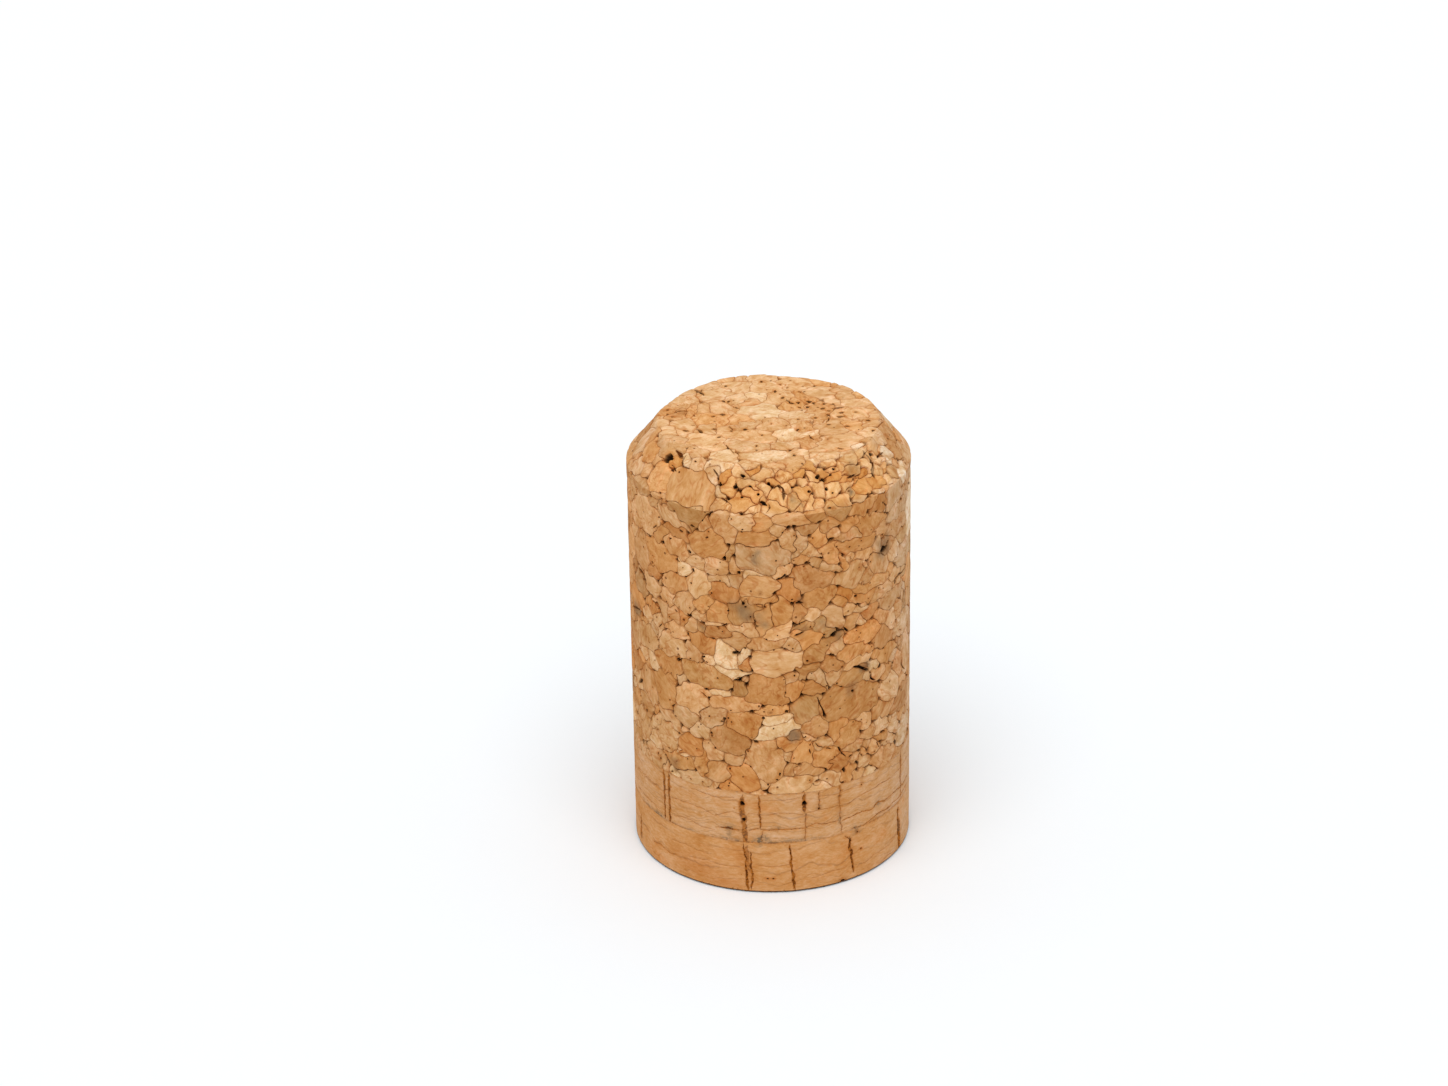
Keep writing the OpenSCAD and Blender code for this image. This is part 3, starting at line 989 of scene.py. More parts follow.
def disc_material(name, look, tint, seed):
    """Natural cork, cut across the bark: level growth lines and fine level streaks."""
    material, n, shader = matte_material(name)
    grain = n.add("VectorMath", {0: n.named("grain", "Vector"), 1: (seed * 31.0, 0.0, seed * 7.3)},
                  operation="ADD").outputs[0]
    wave = n.noise(n.stretch(grain, (0.3, 0.3, 0.12)), 1.0, 2.0, 0.5)
    height = n.plus(n.add("SeparateXYZ", {0: grain}).outputs[2], n.times(wave, 3.0))
    rings = n.stretch(n.vector(seed * 3.7, 0.0, height), (1.0, 1.0, 0.9))
    line = n.span(n.ridge(n.noise(rings, 1.0, 2.0, 0.6)), 0.035, 0.0)
    broken = n.span(n.noise(n.stretch(grain, (0.3, 0.3, 0.5)), 1.0, 3.0, 0.6), 0.36, 0.6)
    level = n.stretch(n.vector(n.times(wave, 9.0), seed, height), (0.8, 1.0, 2.6))
    streaks = n.noise(level, 1.0, 4.0, 0.6, 0.3)
    fine = n.noise(n.stretch(grain, (1.8, 1.8, 4.5)), 1.0, 4.0, 0.7, 0.3)
    cloud = n.noise(n.stretch(grain, (0.28, 0.28, 0.4)), 1.0, 3.0, 0.6, 0.5)
    value = n.plus(n.plus(n.swing(streaks, 0.28), n.swing(fine, 0.48)), n.swing(cloud, 0.42))
    tone = n.tinted(1.0, (*tint, 1), tint_of(n, n.plus(value, 1.01), 2.1, 4.4))
    tone = n.group("Soft Stain", stain_group, {"Color": tone, "Stain": (1.08, 0.82, 0.55, 1),
                                               "Vector": grain, "Scale": 0.13, "Amount": 0.6})["Color"]
    tone = n.tinted(n.times(n.times(line, broken), 0.25), tone, (*look.growth_line, 1))
    specks = n.span(n.noise(grain, 2.6, 3.0, 0.65), 0.4, 0.6, 0.5, 2.0)
    tone = n.mix(n.times(n.named("stain"), specks, True), tone, (*look.stain, 1))
    # The right flank gets a pale painted sheen, in place of light glancing off it
    tone = n.tinted(n.named("painted_sheen"), tone, (1.0, 1.16, 1.5, 1))
    pits = n.group("Pinholes", pinhole_group, {"Vector": grain, "Per Millimetre": 0.6, "Size": 0.1,
                                               "Share": 0.25})["Mask"]
    tone = n.mix(n.times(pits, 0.7), tone, (*look.lenticel, 1))
    dust = n.mix(n.span(n.noise(grain, 2.6, 3.0, 0.7), 0.47, 0.57), (*look.lenticel, 1), (*look.seam, 1))
    n.fill(shader["Base Color"], n.group("Seams with Painted Shade", hollow_group, {
        "Color": tone, "Seam Color": dust, "Hollow Color": (*look.hollow_shade, 1),
        "Seam": n.named("seam"), "Halo": n.named("halo"), "Hollow": n.named("hollow_shade")})["Color"])
    height = n.plus(n.times(streaks, 1.5), n.math("SUBTRACT", fine, line))
    n.fill(shader["Normal"], n.bump(height, 0.5, 0.05 * MM))
    return material


# --- The pieces -----------------------------------------------------------------------------------

def table(text):
    """Rows of numbers, written with a comma between rows."""
    return [[float(number) for number in row.split()] for row in text.split(",")]


# The tables below give places one by one. On the body, a place is two numbers: on the side the arc
# from the front and the height, on the chamfer the arc at its outer edge and the distance up its
# slope, and on the top x and y. Lengths are in millimetres and tilts in degrees.

# The granules that lie on the front: place, long, wide, and a tilt if they don't lie level
SIDE_GRANULES = {
    "pale": table("""
        -4.9 42.3 2.8 3.2, -3 43.2 2.6 1.9, 2.9 40.8 1.8 2.6, 6.6 41.4 1.1 1, 1.7 41.4 1.7 2.2,
        -1 39.3 5.4 3.2, 1.2 38.1 1.8 1, 5.8 37.6 2.5 1.2, -5.9 37.8 2.4 2.2, -5.5 36.5 2.6 0.8,
        -1.9 37.3 1.4 0.6, 4.3 32.4 1 1.6, 6.3 31.8 2 2.2, 0.7 30.8 2.4 1.4 20, -6.2 31.3 1.2 0.6,
        -3.4 31 2.2 1.2, 0.5 27.3 5.4 3, 4.6 25.2 2.8 1.3 -35, 6.2 25 1.8 1.6, -4 22.3 5.6 1.6,
        -6.5 20.3 2 2.4, 3.9 18.2 1.9 1, 1.6 16.6 1.7 1.2, 1.8 12.9 5.4 1.6 8, -0.9 13.5 0.8 1.4,
        -6.3 16.4 3 1.6, 6.3 13.3 1.6 1.4, -16 40.8 6.5 3.8 15, -11.2 42.2 3.8 1.9 -18, -8.3 37.7 2.2 1.4,
        -7.9 35.6 2.4 3, -14.3 33 2.3 2, -13.3 34.2 1.2 0.7, -9.8 32.8 2.6 2.4, -8 31.7 1.8 0.9,
        -11.2 31 1.9 1.4, -8.7 30.5 1.4 1.4, -10.5 29.2 2 1.6, -11.3 27.3 3.6 2.2, -8.8 27.2 1.7 1.7,
        -9.2 22 4.6 3.2 30, -9.7 19.5 2.4 2.2, -8.1 18.3 2.2 1.6, -9.8 18.1 1 0.7, -11.8 18.5 3.2 1.1 -25,
        -12.4 16.4 2.8 2.8, -14.7 17.2 3.2 1.1 55, -9 12.6 4 1.4, 15.6 42.6 4 3, 16.5 40.9 5 2,
        10.3 37.7 2.4 1.8, 8.4 38.3 1.2 0.8, 15.4 36.2 3 2, 8 32.1 2 1, 9.9 31.7 1.8 0.7, 18 35.2 4.4 3,
        18 27 5 2.4, 10.2 25.6 2.8 0.9, 10.8 23.7 1 1, 13 17 2.6 1.2, 15.7 15.8 2.4 1.8, 9 15.9 2 1.2,
        19 23 3.4 5, 18.3 14 4 3.4, 14.5 14.6 2.6 1.2"""),
    "tan": table("""
        1.8 43.4 3.2 1.8, 1 42.2 1.5 1.2, 3.3 42.4 1.7 1, 4 39.7 1.6 1.6, -3.9 38.3 1.1 2, 2.8 38.6 2 1.4,
        4.6 38.5 1.4 1, 4 36.6 4.8 2.6 -15, -3.8 36.7 1.8 1.4, -1.3 35.9 4.2 2.3, -3.7 29.6 2.4 1.8,
        -0.6 29.4 4 1.2, 4.6 19.4 3 2.2, 5.6 17.4 2.4 1.8, 1.9 14.8 1.6 1.6, 3.6 14.4 2 1.2,
        -4.4 15.8 1.8 1.2, -6.3 14 2.8 2.4, -0.6 15.8 3.8 4.4, -14 42.2 2.2 2.4, -16.5 43.6 4 1.6,
        -13.8 43.8 2.2 1, -10.6 38.9 2.8 2, -16.6 36.3 4.4 3.8, -11.2 34.7 3.2 2.6 10, -12 32.8 2 1.9,
        -12.6 31.2 1.4 1.6, -17.1 32.2 2.6 2.4, -15.6 21 3.6 3.6, -16.5 26.5 5 3 15, -16.5 18.6 3 2,
        -14.5 13.2 3 2, 12.9 40 1.8 1.6, 16 38.9 5 2, 12.8 35.9 3.2 2.6, 8.6 35.9 3.4 2.4,
        10.7 35.4 1.6 1.4, 13.3 32.5 3.8 1.3, 15.2 31 5 1.8, 8.2 40.5 2.8 0.9, 12.3 23.4 2 1.1, 11 17 3 1.3,
        12.3 13.4 2 1.6, 14.4 13 2.2 1.6, 14.5 20.7 4 3.4, 9.2 14.5 0.8 0.8, 10.6 15.6 1 0.8,
        10.2 13.7 1 0.8"""),
    "orange": table("""
        -0.9 43.1 2.4 1.8, -1.8 41.4 4 1.9, 5.9 42.5 2 2, 5 43.6 2 0.9, 4.9 41 2.4 2.6, 6.3 39 2 2.4,
        -6.6 40.2 4.2 3.3, -0.8 34.6 3.6 1.2, 1 33.2 2.2 3, 5 34.1 4 2, 3.8 30 3.2 2, -5.8 32.6 2.4 2,
        -0.6 24.2 4.6 3.6, 2.2 23.9 2 2.2, 4 24.1 2 1.8, 0 21.8 2 0.8, 8.6 21.4 8 4, -2.8 19.8 3.2 2.6,
        1.5 17.8 2.6 1, 6.9 18.6 2.4 3, 3 16.6 2.4 2.4, 5.5 15.8 3 2, -2.9 13.8 3.4 2.8, -12.8 41.2 1 0.4,
        -12.9 39.9 2.4 1.8, -13.3 36.9 6 3.2, -7.2 33.2 2.4 1.6, -14.3 30.6 2.4 1.4, -12 25 3.6 2.2,
        -12.7 21.8 3.6 4.2, -8.9 16.3 3.4 2.2, -7.7 14.4 1.6 2.4, -19 18 3 2, 8.5 41.8 3.4 1.2,
        10.6 43 4 1.8, 12.4 42.7 3 1.8, 11.4 41.2 3.8 1.8, 9.2 39.3 5 1.6, 12.2 34.2 4.6 1.3,
        10.4 33 3.6 1.2, 7.2 33.4 1.6 1, 8.8 30.7 1.8 1.6, 10.4 28.8 4.4 1.8, 9.3 27 5 1.8, 14 25.2 4 1.6,
        8 17.9 3 2.4, 13.3 15.4 1.8 1, 8.4 13.2 1.8 1.4, -18.5 30 4 2.4 10"""),
    "brown": table("""
        1.9 35.7 2.2 2.2, -5.1 35 2.6 2.4, 2.8 33.2 1.8 2.2, -5.7 30.4 3 1.2, 6.3 26.5 1.6 1.8,
        -4.6 18 4.2 3, 2.2 18.7 1.2 1.2, -14 35 2.2 1.8, -10.6 40.7 2.8 1.4, 11.3 30.8 2.8 1.2,
        13.5 27.1 3 1.8, 13.6 18.9 4 2, 17.5 18.3 5 2.6, -18.7 22.6 2.6 1.8"""),
    "grey": table("""
        -4.6 39.7 0.8 2, -3 33 3 2.6, -1 32.4 1.6 2.4, 5.2 31.2 3.4 1.3 -50, 3.2 31.2 2.2 1.1 18,
        5 28.3 4.5 1.8 35, -7.2 25 6 2.8 -8, -3.5 24.1 2 1.9, 3.5 26.2 1.4 1.2, 3.5 21.8 3.2 3.2,
        -9.3 43.3 4.4 2.4, -7.6 30.6 1 1.2, -10.6 14 3.6 2, 7 43.4 3 1.8, 8.8 24.1 2.8 2,
        -18.5 28.6 3 0.8 10"""),
    "cream": table("""
        -4.8 27.5 2.2 3.6 8, -4.7 25.9 3.6 1.2, -6.7 27.1 1.7 0.8 -30, -3.1 28 2 0.75 58, -5.5 23.4 1.9 0.9,
        0.6 20.8 2.7 1.3 15, 0.4 19.4 4.2 1.8 15, -9.8 36.8 2.6 1.6 25, -9.8 15 1.6 0.5,
        11.7 24.5 1.4 0.8"""),
}
CHAMFER_GRANULES = {
    "cream": table("""
        -11.2 4.5 1.5 1.3, -6.4 5 2.6 0.8, 6.5 5.1 0.9 0.9"""),
    "pale": table("""
        -4.2 4.7 1.3 1, 0.6 2.3 1.6 1.6, 3.6 3.4 1 1, 1.8 3.2 1.1 0.8, 0.2 0.9 2.2 1.4, 4.4 1.5 1 1.6,
        7.3 2.1 1.7 1.2, 9.4 2 1 0.6, 13.4 3.1 1.2 1.2, 10.6 3.5 1.7 1, -1.8 0.8 2 0.9, -0.6 4.6 2 1.2,
        1.8 4.5 1.7 1, 8.2 4.9 2.2 0.8, 11 4.7 2 1.1, 13.6 4.6 2 1"""),
    "orange": table("""
        -4.8 2.9 1.4 1.7, -9.5 1.9 5.8 4.4, -14.3 1.5 3.6 2.8, -2.2 2.3 1.4 1.2, -3.4 1.4 2.6 1.5,
        3.6 2.4 1.4 1.2, 2.6 3.5 0.8 0.7, 0.3 3.8 1.1 0.8"""),
    "amber": table("""
        -13.1 3.7 1.4 0.8, -5.6 4 1.1 1.2, -2.2 5 1.4 0.8, 8 3.4 2.2 1, 11.2 1.4 2.4 1.4, 13.4 1.2 2 1.4,
        12 2.7 1.6 0.8, 3.5 4.6 1.2 0.9, 5.3 4.8 1 1"""),
    "tan": table("""
        -2.9 3.3 1.7 0.8, 5.2 3.9 1.2 1, 5.6 2.3 1.4 1.7, 8 0.9 1.6 1.4, -5.4 1 1.4 1.2"""),
    "grey": table("""
        2.6 1.6 1.4 1.4, 9.2 1.3 0.9 0.8"""),
}
TOP_GRANULES = {
    "cream": table("""
        -0.7 2.3 4 3.2 -10, 2.6 -3.8 3.8 2.4 -20, 3 -8.2 0.9 1.2, -4.8 -8.7 3 2.4, -0.5 -8.8 5.6 2.6"""),
    "pale": table("""
        1.6 -6.2 2.8 2, -7.8 -9.6 1.6 2.2, -8.6 -1 3 2.2, 3.2 0.6 3.4 3 -30, 8.8 1.4 2.6 3.8,
        5.5 6.6 5 2.6 -20, 0 8.3 3 3.4, 3.4 9 4 2.6, -5.5 6.6 4 3, -8.8 5 3 3, -3.4 5.2 2.2 2,
        -6.5 -5.2 5 3"""),
    "tan": table("""
        3.4 -1.4 4 1.8 15, 6.8 -6 5 3.4 -10, -2 -4 5.6 2.6, 1 5.4 2.2 3, 0.8 -1 3 2.2, 6.6 -2 3 2.4"""),
    "orange": table("""
        -5.7 0.6 3 4.4 10, -3.2 0.4 2.2 2.6, 4.6 4.9 4.6 1.2 -15, -8 2.3 2.4 1"""),
    "brown": table("""
        5.3 2.3 4.6 2.4 -22"""),
}

# Holes at their corners: place, long, and then a width if they aren't round, a tilt, and a darkness
# if dust fills them
SIDE_VOIDS = table("""
    -4.85 38.95 0.5, -3.35 37.55 0.4, 6.3 40.7 0.7 0.4 10, -2.95 34.05 0.4, -2.7 33.7 0.25,
    2.8 34.05 0.8 0.35, 2.2 34.15 0.2, 6.5 29.8 1 0.55 20, -3.9 28.3 0.6 0.4, -5.7 31 0.35 0.15,
    -6.2 29.6 0.5 0.2, -3.6 25.15 1 0.32, -3.2 26.3 0.5 0.2 -30, 1.4 21.65 0.5 0.4 30, -1 20.9 0.35,
    -1.15 20.1 0.3, -1.8 18.1 0.55 0.32, -6.6 18.5 0.35, -5.4 20.1 0.3, -6.85 22.5 0.3 0.5,
    -1.45 22.3 0.2 0.3, 3.6 27.3 0.3, 2.25 25.75 0.25, 6.2 27.6 0.3, 0.65 14.3 0.25 0.4, 3.3 18.4 0.4 0.2,
    -8.8 38.9 0.4 0.5, -8.4 36.9 0.35 0.45, -10.4 37.5 0.75 0.32 -10, -9.8 41 0.5 0.3 -15,
    -8.4 41.95 0.55 0.35, 9.2 33.45 0.6 0.3 -20, -10.7 31.6 0.4 0.25 -30, -9.1 31.6 0.3 0.4, -9.7 30.9 0.3,
    -9.2 29.4 0.3 0.4 20, -9 28.7 0.25, -7.4 27.2 0.5 0.3 30, -7 26.7 0.3 0.2, -10.6 26 0.4,
    12.7 24.1 0.7 0.4 35, 8.8 22.6 0.3 0.4, -7.1 23.5 0.6 0.28, -8.6 13.6 0.3 0.4, 7.7 13.6 0.45 0.65,
    8.5 15 0.5 0.3 30, 13.3 37.4 1.3 0.8 12, 14 37.9 0.5 0.35 30, 11.3 37.5 0.6 0.25 10,
    13.1 39.1 0.35 0.25 20, 15.6 32.6 0.4 0.5, 17.3 42.8 0.5 0.35, 17 41.5 0.6 0.3, 12.1 42.1 0.5 0.2 25,
    12.5 33.2 0.3 0.2 -30, 13.4 25.9 0.45 0.22 -20, 13.2 16.1 1.2 0.3 -15, 17.1 15.4 0.4,
    15.4 14.8 0.5 0.2 -20, 15.8 13.6 0.6 0.8 20, 20 12.9 1.2 0.45 -25, -14.6 38.7 0.5 0.25, -12.6 38.8 0.4,
    -11.3 39.7 0.45 0.2 10, -14.3 35.9 0.35 0.28, -13 41.5 0.35 0.2 20, -12.5 43.8 0.3 0.25,
    -12.9 30.3 0.4 0.25 -40, -15.4 30.5 0.5 0.2 40, -17.7 20.5 1.5 0.5 40, -16.2 17.7 0.45 0.4 20,
    -15.4 17 0.4 0.5 -20, -19.3 15.9 1.2 0.35 8, -17.4 13.4 0.6 0.5, -13.7 18.7 0.35, -12.8 13.9 0.35 0.3,
    -12.1 13 0.3 0.2 -30, -14 13.6 0.3, -13.6 13.2 0.4 0.25 35, -12.2 15 0.3 0.22, -10.7 17.3 0.4 0.3,
    -11.5 20.2 0.3 0.35, -11.9 20.8 0.3 0.2 30, -11.1 19.2 0.3 0.22, -14.5 23.2 0.35 0.2 35,
    -10.7 43 0.3 0.2, -9.4 35.9 0.25 0.3, -10.6 36 0.2 0.25, -12.7 34.6 0.25, -12.1 32.2 0.25 0.2,
    -11.8 12.3 0.4 0.2 30, 11.9 14.3 0.3 0.2, 10.9 15.1 0.3 0.18 -20, 10 14.6 0.2 0.3, 9.5 13.8 0.2 0.4,
    10.9 13 0.4 0.25, 11.5 12.8 0.35 0.25, 12 12.1 0.4 0.2, 7.5 25.8 0.3 0.2, 7.4 23.5 0.3 0.2,
    15.2 23.4 0.25 0.4, 14.9 23.1 0.3 0.2, 17 26.4 0.7 0.15 -35, 19.5 19.8 1 0.2 -25""")
# Pinholes: place
SIDE_DOTS = table("""
    -3 42.15, 1.15 42.1, 2.55 41.55, 0.95 40.6, 1.8 38.6, 3.9 38.45, 4.3 37.9, 4.25 41.2, 5.2 39.3,
    -0.7 33.75, -2.2 32.6, 5.5 30, -0.6 30.05, 1.7 29.3, 2.1 28.85, -2.8 28.95, -6.3 34.8, -4.55 33.05,
    -5.35 36.4, -6.5 41.7, -5.8 25.1, 1.3 23.85, -4.7 20.6, -4.35 20.2, -2.65 16.95, -2.95 15.5, -2.4 15.1,
    -3.5 15.1, -6.2 16.8, 0.35 13.65, -0.6 13.1, 3.8 13.3, 5.7 13.1, -4.7 12.85, -4.6 14.65, 6.55 15.45,
    5.7 24, 6.9 24, -8.7 35.4, -8.9 32.5, -14.2 36.7, -11.7 30.6, -18.5 26, -14.8 21.1, -15.9 20, 7.2 37.5,
    11.2 36.7, 8.6 37.9, 13.1 22, 16.9 25.6, 16.5 24.4, 16.6 24.7, -7.2 42.8, -9.2 12.4, -9.6 14.6,
    -13 26.4, -9 26.6, 8.5 38.1""")
# Open seams and cracks: the points of a line, each with its place and its width
SIDE_SLITS = table("""
    0.4 36.8 0.2  1 37 0.4  1.5 37.4 0.3, 2.2 31.35 0.1  3.65 31.95 0.16, 2.3 30.3 0.3  3.3 30.7 0.12,
    -1.9 32.4 0.12  -1.6 31.5 0.1, 4.7 22.7 0.1  5.2 21.4 0.14  5.6 20.3 0.4,
    4.4 17.7 0.1  4.7 17.1 0.1  6.2 16.5 0.14, 3.75 17 0.16  3.9 16.4 0.16, 7.7 30.3 0.2  8.3 29.6 0.3,
    8.9 25.4 0.25  10 24.9 0.34  11 24.2 0.5, 11.2 23.7 0.32  11.4 23.1 0.26  12 22.7 0.12,
    15.4 32.9 0.3  16.4 33.1 0.35  17.2 32.9 0.22  19 33.1 0.12, 19.4 42.2 0.2  20.6 41.7 0.3,
    13.3 42.6 0.16  13.8 42 0.14  13.6 41.1 0.14, 17.3 22.6 0.3  17.6 21.8 0.2  18.5 21 0.1,
    12.2 15.3 0.14  12.6 14.5 0.25, 14.1 17.2 0.12  14.5 16.6 0.22,
    -17.4 33.9 0.36  -16.4 33.7 0.34  -15.8 33.1 0.36, -15.8 33.1 0.3  -15.7 32.5 0.2,
    -18.7 33.8 0.1  -19.4 33.3 0.2, -14 39.9 0.22  -13.4 40.5 0.1, -16.3 38.8 0.1  -14.5 38.7 0.18,
    -13.4 28.7 0.12  -12.8 29.4 0.2, -20 28.2 0.14  -17.6 28.9 0.1,
    -14.4 31.4 0.1  -13.3 31 0.12  -12.8 30.2 0.2, -7.7 23.1 0.12  -7 22.6 0.2,
    -12.7 13.7 0.2  -12.2 13.1 0.2, 7.05 16.5 0.16  7.4 15.8 0.2  7.9 15.1 0.12,
    -20.6 19.8 0.1  -19.2 20.2 0.14, 6.6 30 0.16  7.8 30 0.2""")
# Grey patches of old bark: place, size, strength
SIDE_STAINS = table("""
    -1.5 39.4 0.7 0.7, -2.9 33.2 1.2 0.7, -1.1 32.2 0.9 0.6, 5.2 31.4 0.7 0.4, 7 29.6 0.9 0.6,
    13.3 37.6 1.3 0.7, 10.3 24.8 0.7 0.7, 2.4 18.8 0.7 0.8, -7.7 30.6 0.5 0.7, 3.3 30.8 0.7 0.4,
    -18.5 28.6 1.1 0.6, -11.4 13.2 0.8 0.4, 2.6 34 0.6 0.5, 8.8 23 0.8 0.4""")
CHAMFER_STAINS = table("""
    2.6 1.6 0.55 0.9, 9.1 1.45 0.4 1, 10.8 3.6 0.8 0.4, -3 4.1 0.7 0.4""")
TOP_STAINS = table("""
    -9 2.3 0.7 0.25, 1.6 -5.8 0.7 0.12""")
# Patches where glue has soaked in and turned the cork orange: place, size, strength
SIDE_GLOWS = table("""
    3.4 24.5 0.9 0.4, 5.6 22 0.7 0.35, -3.6 17.6 0.9 0.35, 4.2 18 0.5 0.5, 3.7 16.9 0.4 0.6,
    -4.6 20.2 0.5 0.5, -2.2 20.6 0.6 0.4, 5.8 14 0.6 0.5, -6 26 0.4 0.6, -4.2 25 0.4 0.6, 1 17.8 0.7 0.35,
    -0.3 32.4 0.7 0.3, 4.4 35.2 0.8 0.3, -1.4 43 0.6 0.35, 8.4 13.8 0.6 0.4, -5.8 33.8 0.5 0.4,
    -9.4 38.2 0.6 0.3, 10.4 21.6 0.7 0.35, 12.8 27.4 0.8 0.3, -12.6 25 0.6 0.3""")
CHAMFER_GLOWS = table("""
    -13.4 3.1 0.7 0.7, -14.6 3 0.6 0.5, -15.9 3.5 0.6 0.7, -8 4.7 0.8 0.5, -6 4.6 0.5 0.7, -6.7 3.4 0.4 0.6,
    0.9 3.3 0.6 0.5, 7 3.6 0.7 0.6, 8.6 3.3 0.8 0.6, 10.4 2.8 0.8 0.7, 11.8 2.6 0.7 0.7, 13.2 1.6 0.6 0.6,
    13.8 3.9 0.5 0.5, -4.9 1.7 0.4 0.5, 4.6 2.6 0.4 0.4, -1.9 4.8 0.7 0.5""")
TOP_GLOWS = table("""
    -6.3 1.7 0.6 0.45, -5.5 1 0.8 0.5, -5.3 0 0.7 0.45, -5.5 -1.4 0.4 0.6, -4.7 1.8 0.4 0.8,
    -3.9 -1.6 0.4 0.8, -3.2 -2 0.4 0.6, -2.6 -2.2 0.4 0.7, -3.8 -2.6 0.3 0.7, 2.3 4.1 0.45 0.9, 3 4 0.4 0.7,
    3.8 4.2 0.4 0.6, 4.5 4.3 0.5 0.9, 5.2 4 0.4 0.6, 5.9 3.7 0.45 0.8, 6.6 3.3 0.5 0.7, 7.2 2.6 0.5 0.9,
    7.4 1.8 0.4 0.9, 7.4 1 0.35 0.8, 7.4 0.2 0.3 0.7, 6.2 1 0.35 0.8, 6.2 0 0.3 0.8, 6.1 -1 0.3 0.7,
    5.7 2.6 0.5 0.6, 6.2 2 0.4 0.6, 4 3.3 1 0.4, 5.2 3 1 0.4, 3.4 3 0.4 0.6, 0.8 6.9 0.4 0.6,
    0.2 7.8 0.5 0.4, 1.6 5.5 0.35 0.6, 3.6 8.2 1.2 0.3, -3 7.5 0.4 0.4, -4.3 4.9 0.5 0.5, -3.4 3.3 0.35 0.6,
    -8.7 6 0.6 0.4, 0.8 9.7 0.35 0.5, 6 4.9 0.4 0.4, -9.4 2.2 0.7 0.45, -10.2 1.2 0.5 0.5,
    -7.2 -2.4 0.45 0.6, -4.4 -5.9 0.5 0.5, -9 -5 0.5 0.45, 3.2 -2.4 0.45 0.6, 4.6 -2.1 0.8 0.4,
    4.2 -4.8 0.4 0.6, 7.6 -2 0.5 0.5, 7.8 -3.8 0.5 0.45, -1.4 -6.4 0.4 0.6, -2.6 -5.4 1 0.3,
    1.4 -7.5 0.7 0.4, 3.2 -6.9 0.4 0.5, 7 -7.3 0.5 0.5, 6 -5.8 0.8 0.3, -3.4 -9.3 0.8 0.35""")
CHAMFER_VOIDS = table("""
    -14.75 3.85 1.8 1.05 14, -13.3 4.75 1.8 0.55 -12 0.12, -12.9 3.25 1.4 0.25 -20 0.1,
    -0.8 1.5 0.9 0.42 -28, -4.15 3.05 0.4 0.7, -5.95 3.05 0.25 0.5, 5.9 3.7 0.5, 6.5 3.35 0.5 0.25 -30,
    4.4 2.35 0.4 0.35, -3.2 2 0.3, -1.4 2.4 0.3 0.35, -0.2 3.5 0.4, 2.6 3.02 0.5 0.25, 14.9 3.9 0.4 0.5,
    8.3 4.1 0.45 0.25, 7.6 3.6 0.45 0.25, 6.6 2.3 0.3 0.4 20, 7.1 1.75 0.35 0.2, -3.4 4.2 0.7 0.3 -15,
    -2.4 3.2 0.4 0.2, 6.2 0.3 0.4 0.2, 20.7 2.3 0.3, 19.7 0.5 0.3, 18.2 1.3 0.3, 20.2 3.6 0.3,
    -13 0.4 0.4 0.2, -11.8 3.1 0.3 0.25, -13 3 0.5 0.3, -10.2 4.7 0.3 0.25""")
CHAMFER_SLITS = table("""
    1.45 3 0.2  1.5 2.3 0.34  1.4 1.7 0.2, 0.3 2.9 0.12  0.9 3.3 0.2  1.5 2.9 0.2,
    -7.3 4.4 0.14  -6.6 3.9 0.2  -6.2 3.3 0.2, 9.5 2.8 0.2  10.2 2.75 0.25  10.9 2.9 0.14,
    10.2 1.9 0.14  11 2.3 0.25  11.4 2.5 0.12, 15.3 3.2 0.12  16.2 3.3 0.25  17 3.2 0.14,
    -12.1 5 0.16  -12.2 4.3 0.2  -11.7 3.75 0.2  -10.6 3.8 0.12, 4.5 4.6 0.14  4.65 3.9 0.2  4.8 3.3 0.14,
    -0.2 1.4 0.25  -0.05 1 0.14  -0.5 0.5 0.12,
    13.9 4.7 0.2  14.2 3.9 0.3  14.3 3.1 0.34  13.5 2.3 0.4  13.2 1.6 0.2, -4.9 2 0.16  -4.9 1.2 0.14""")
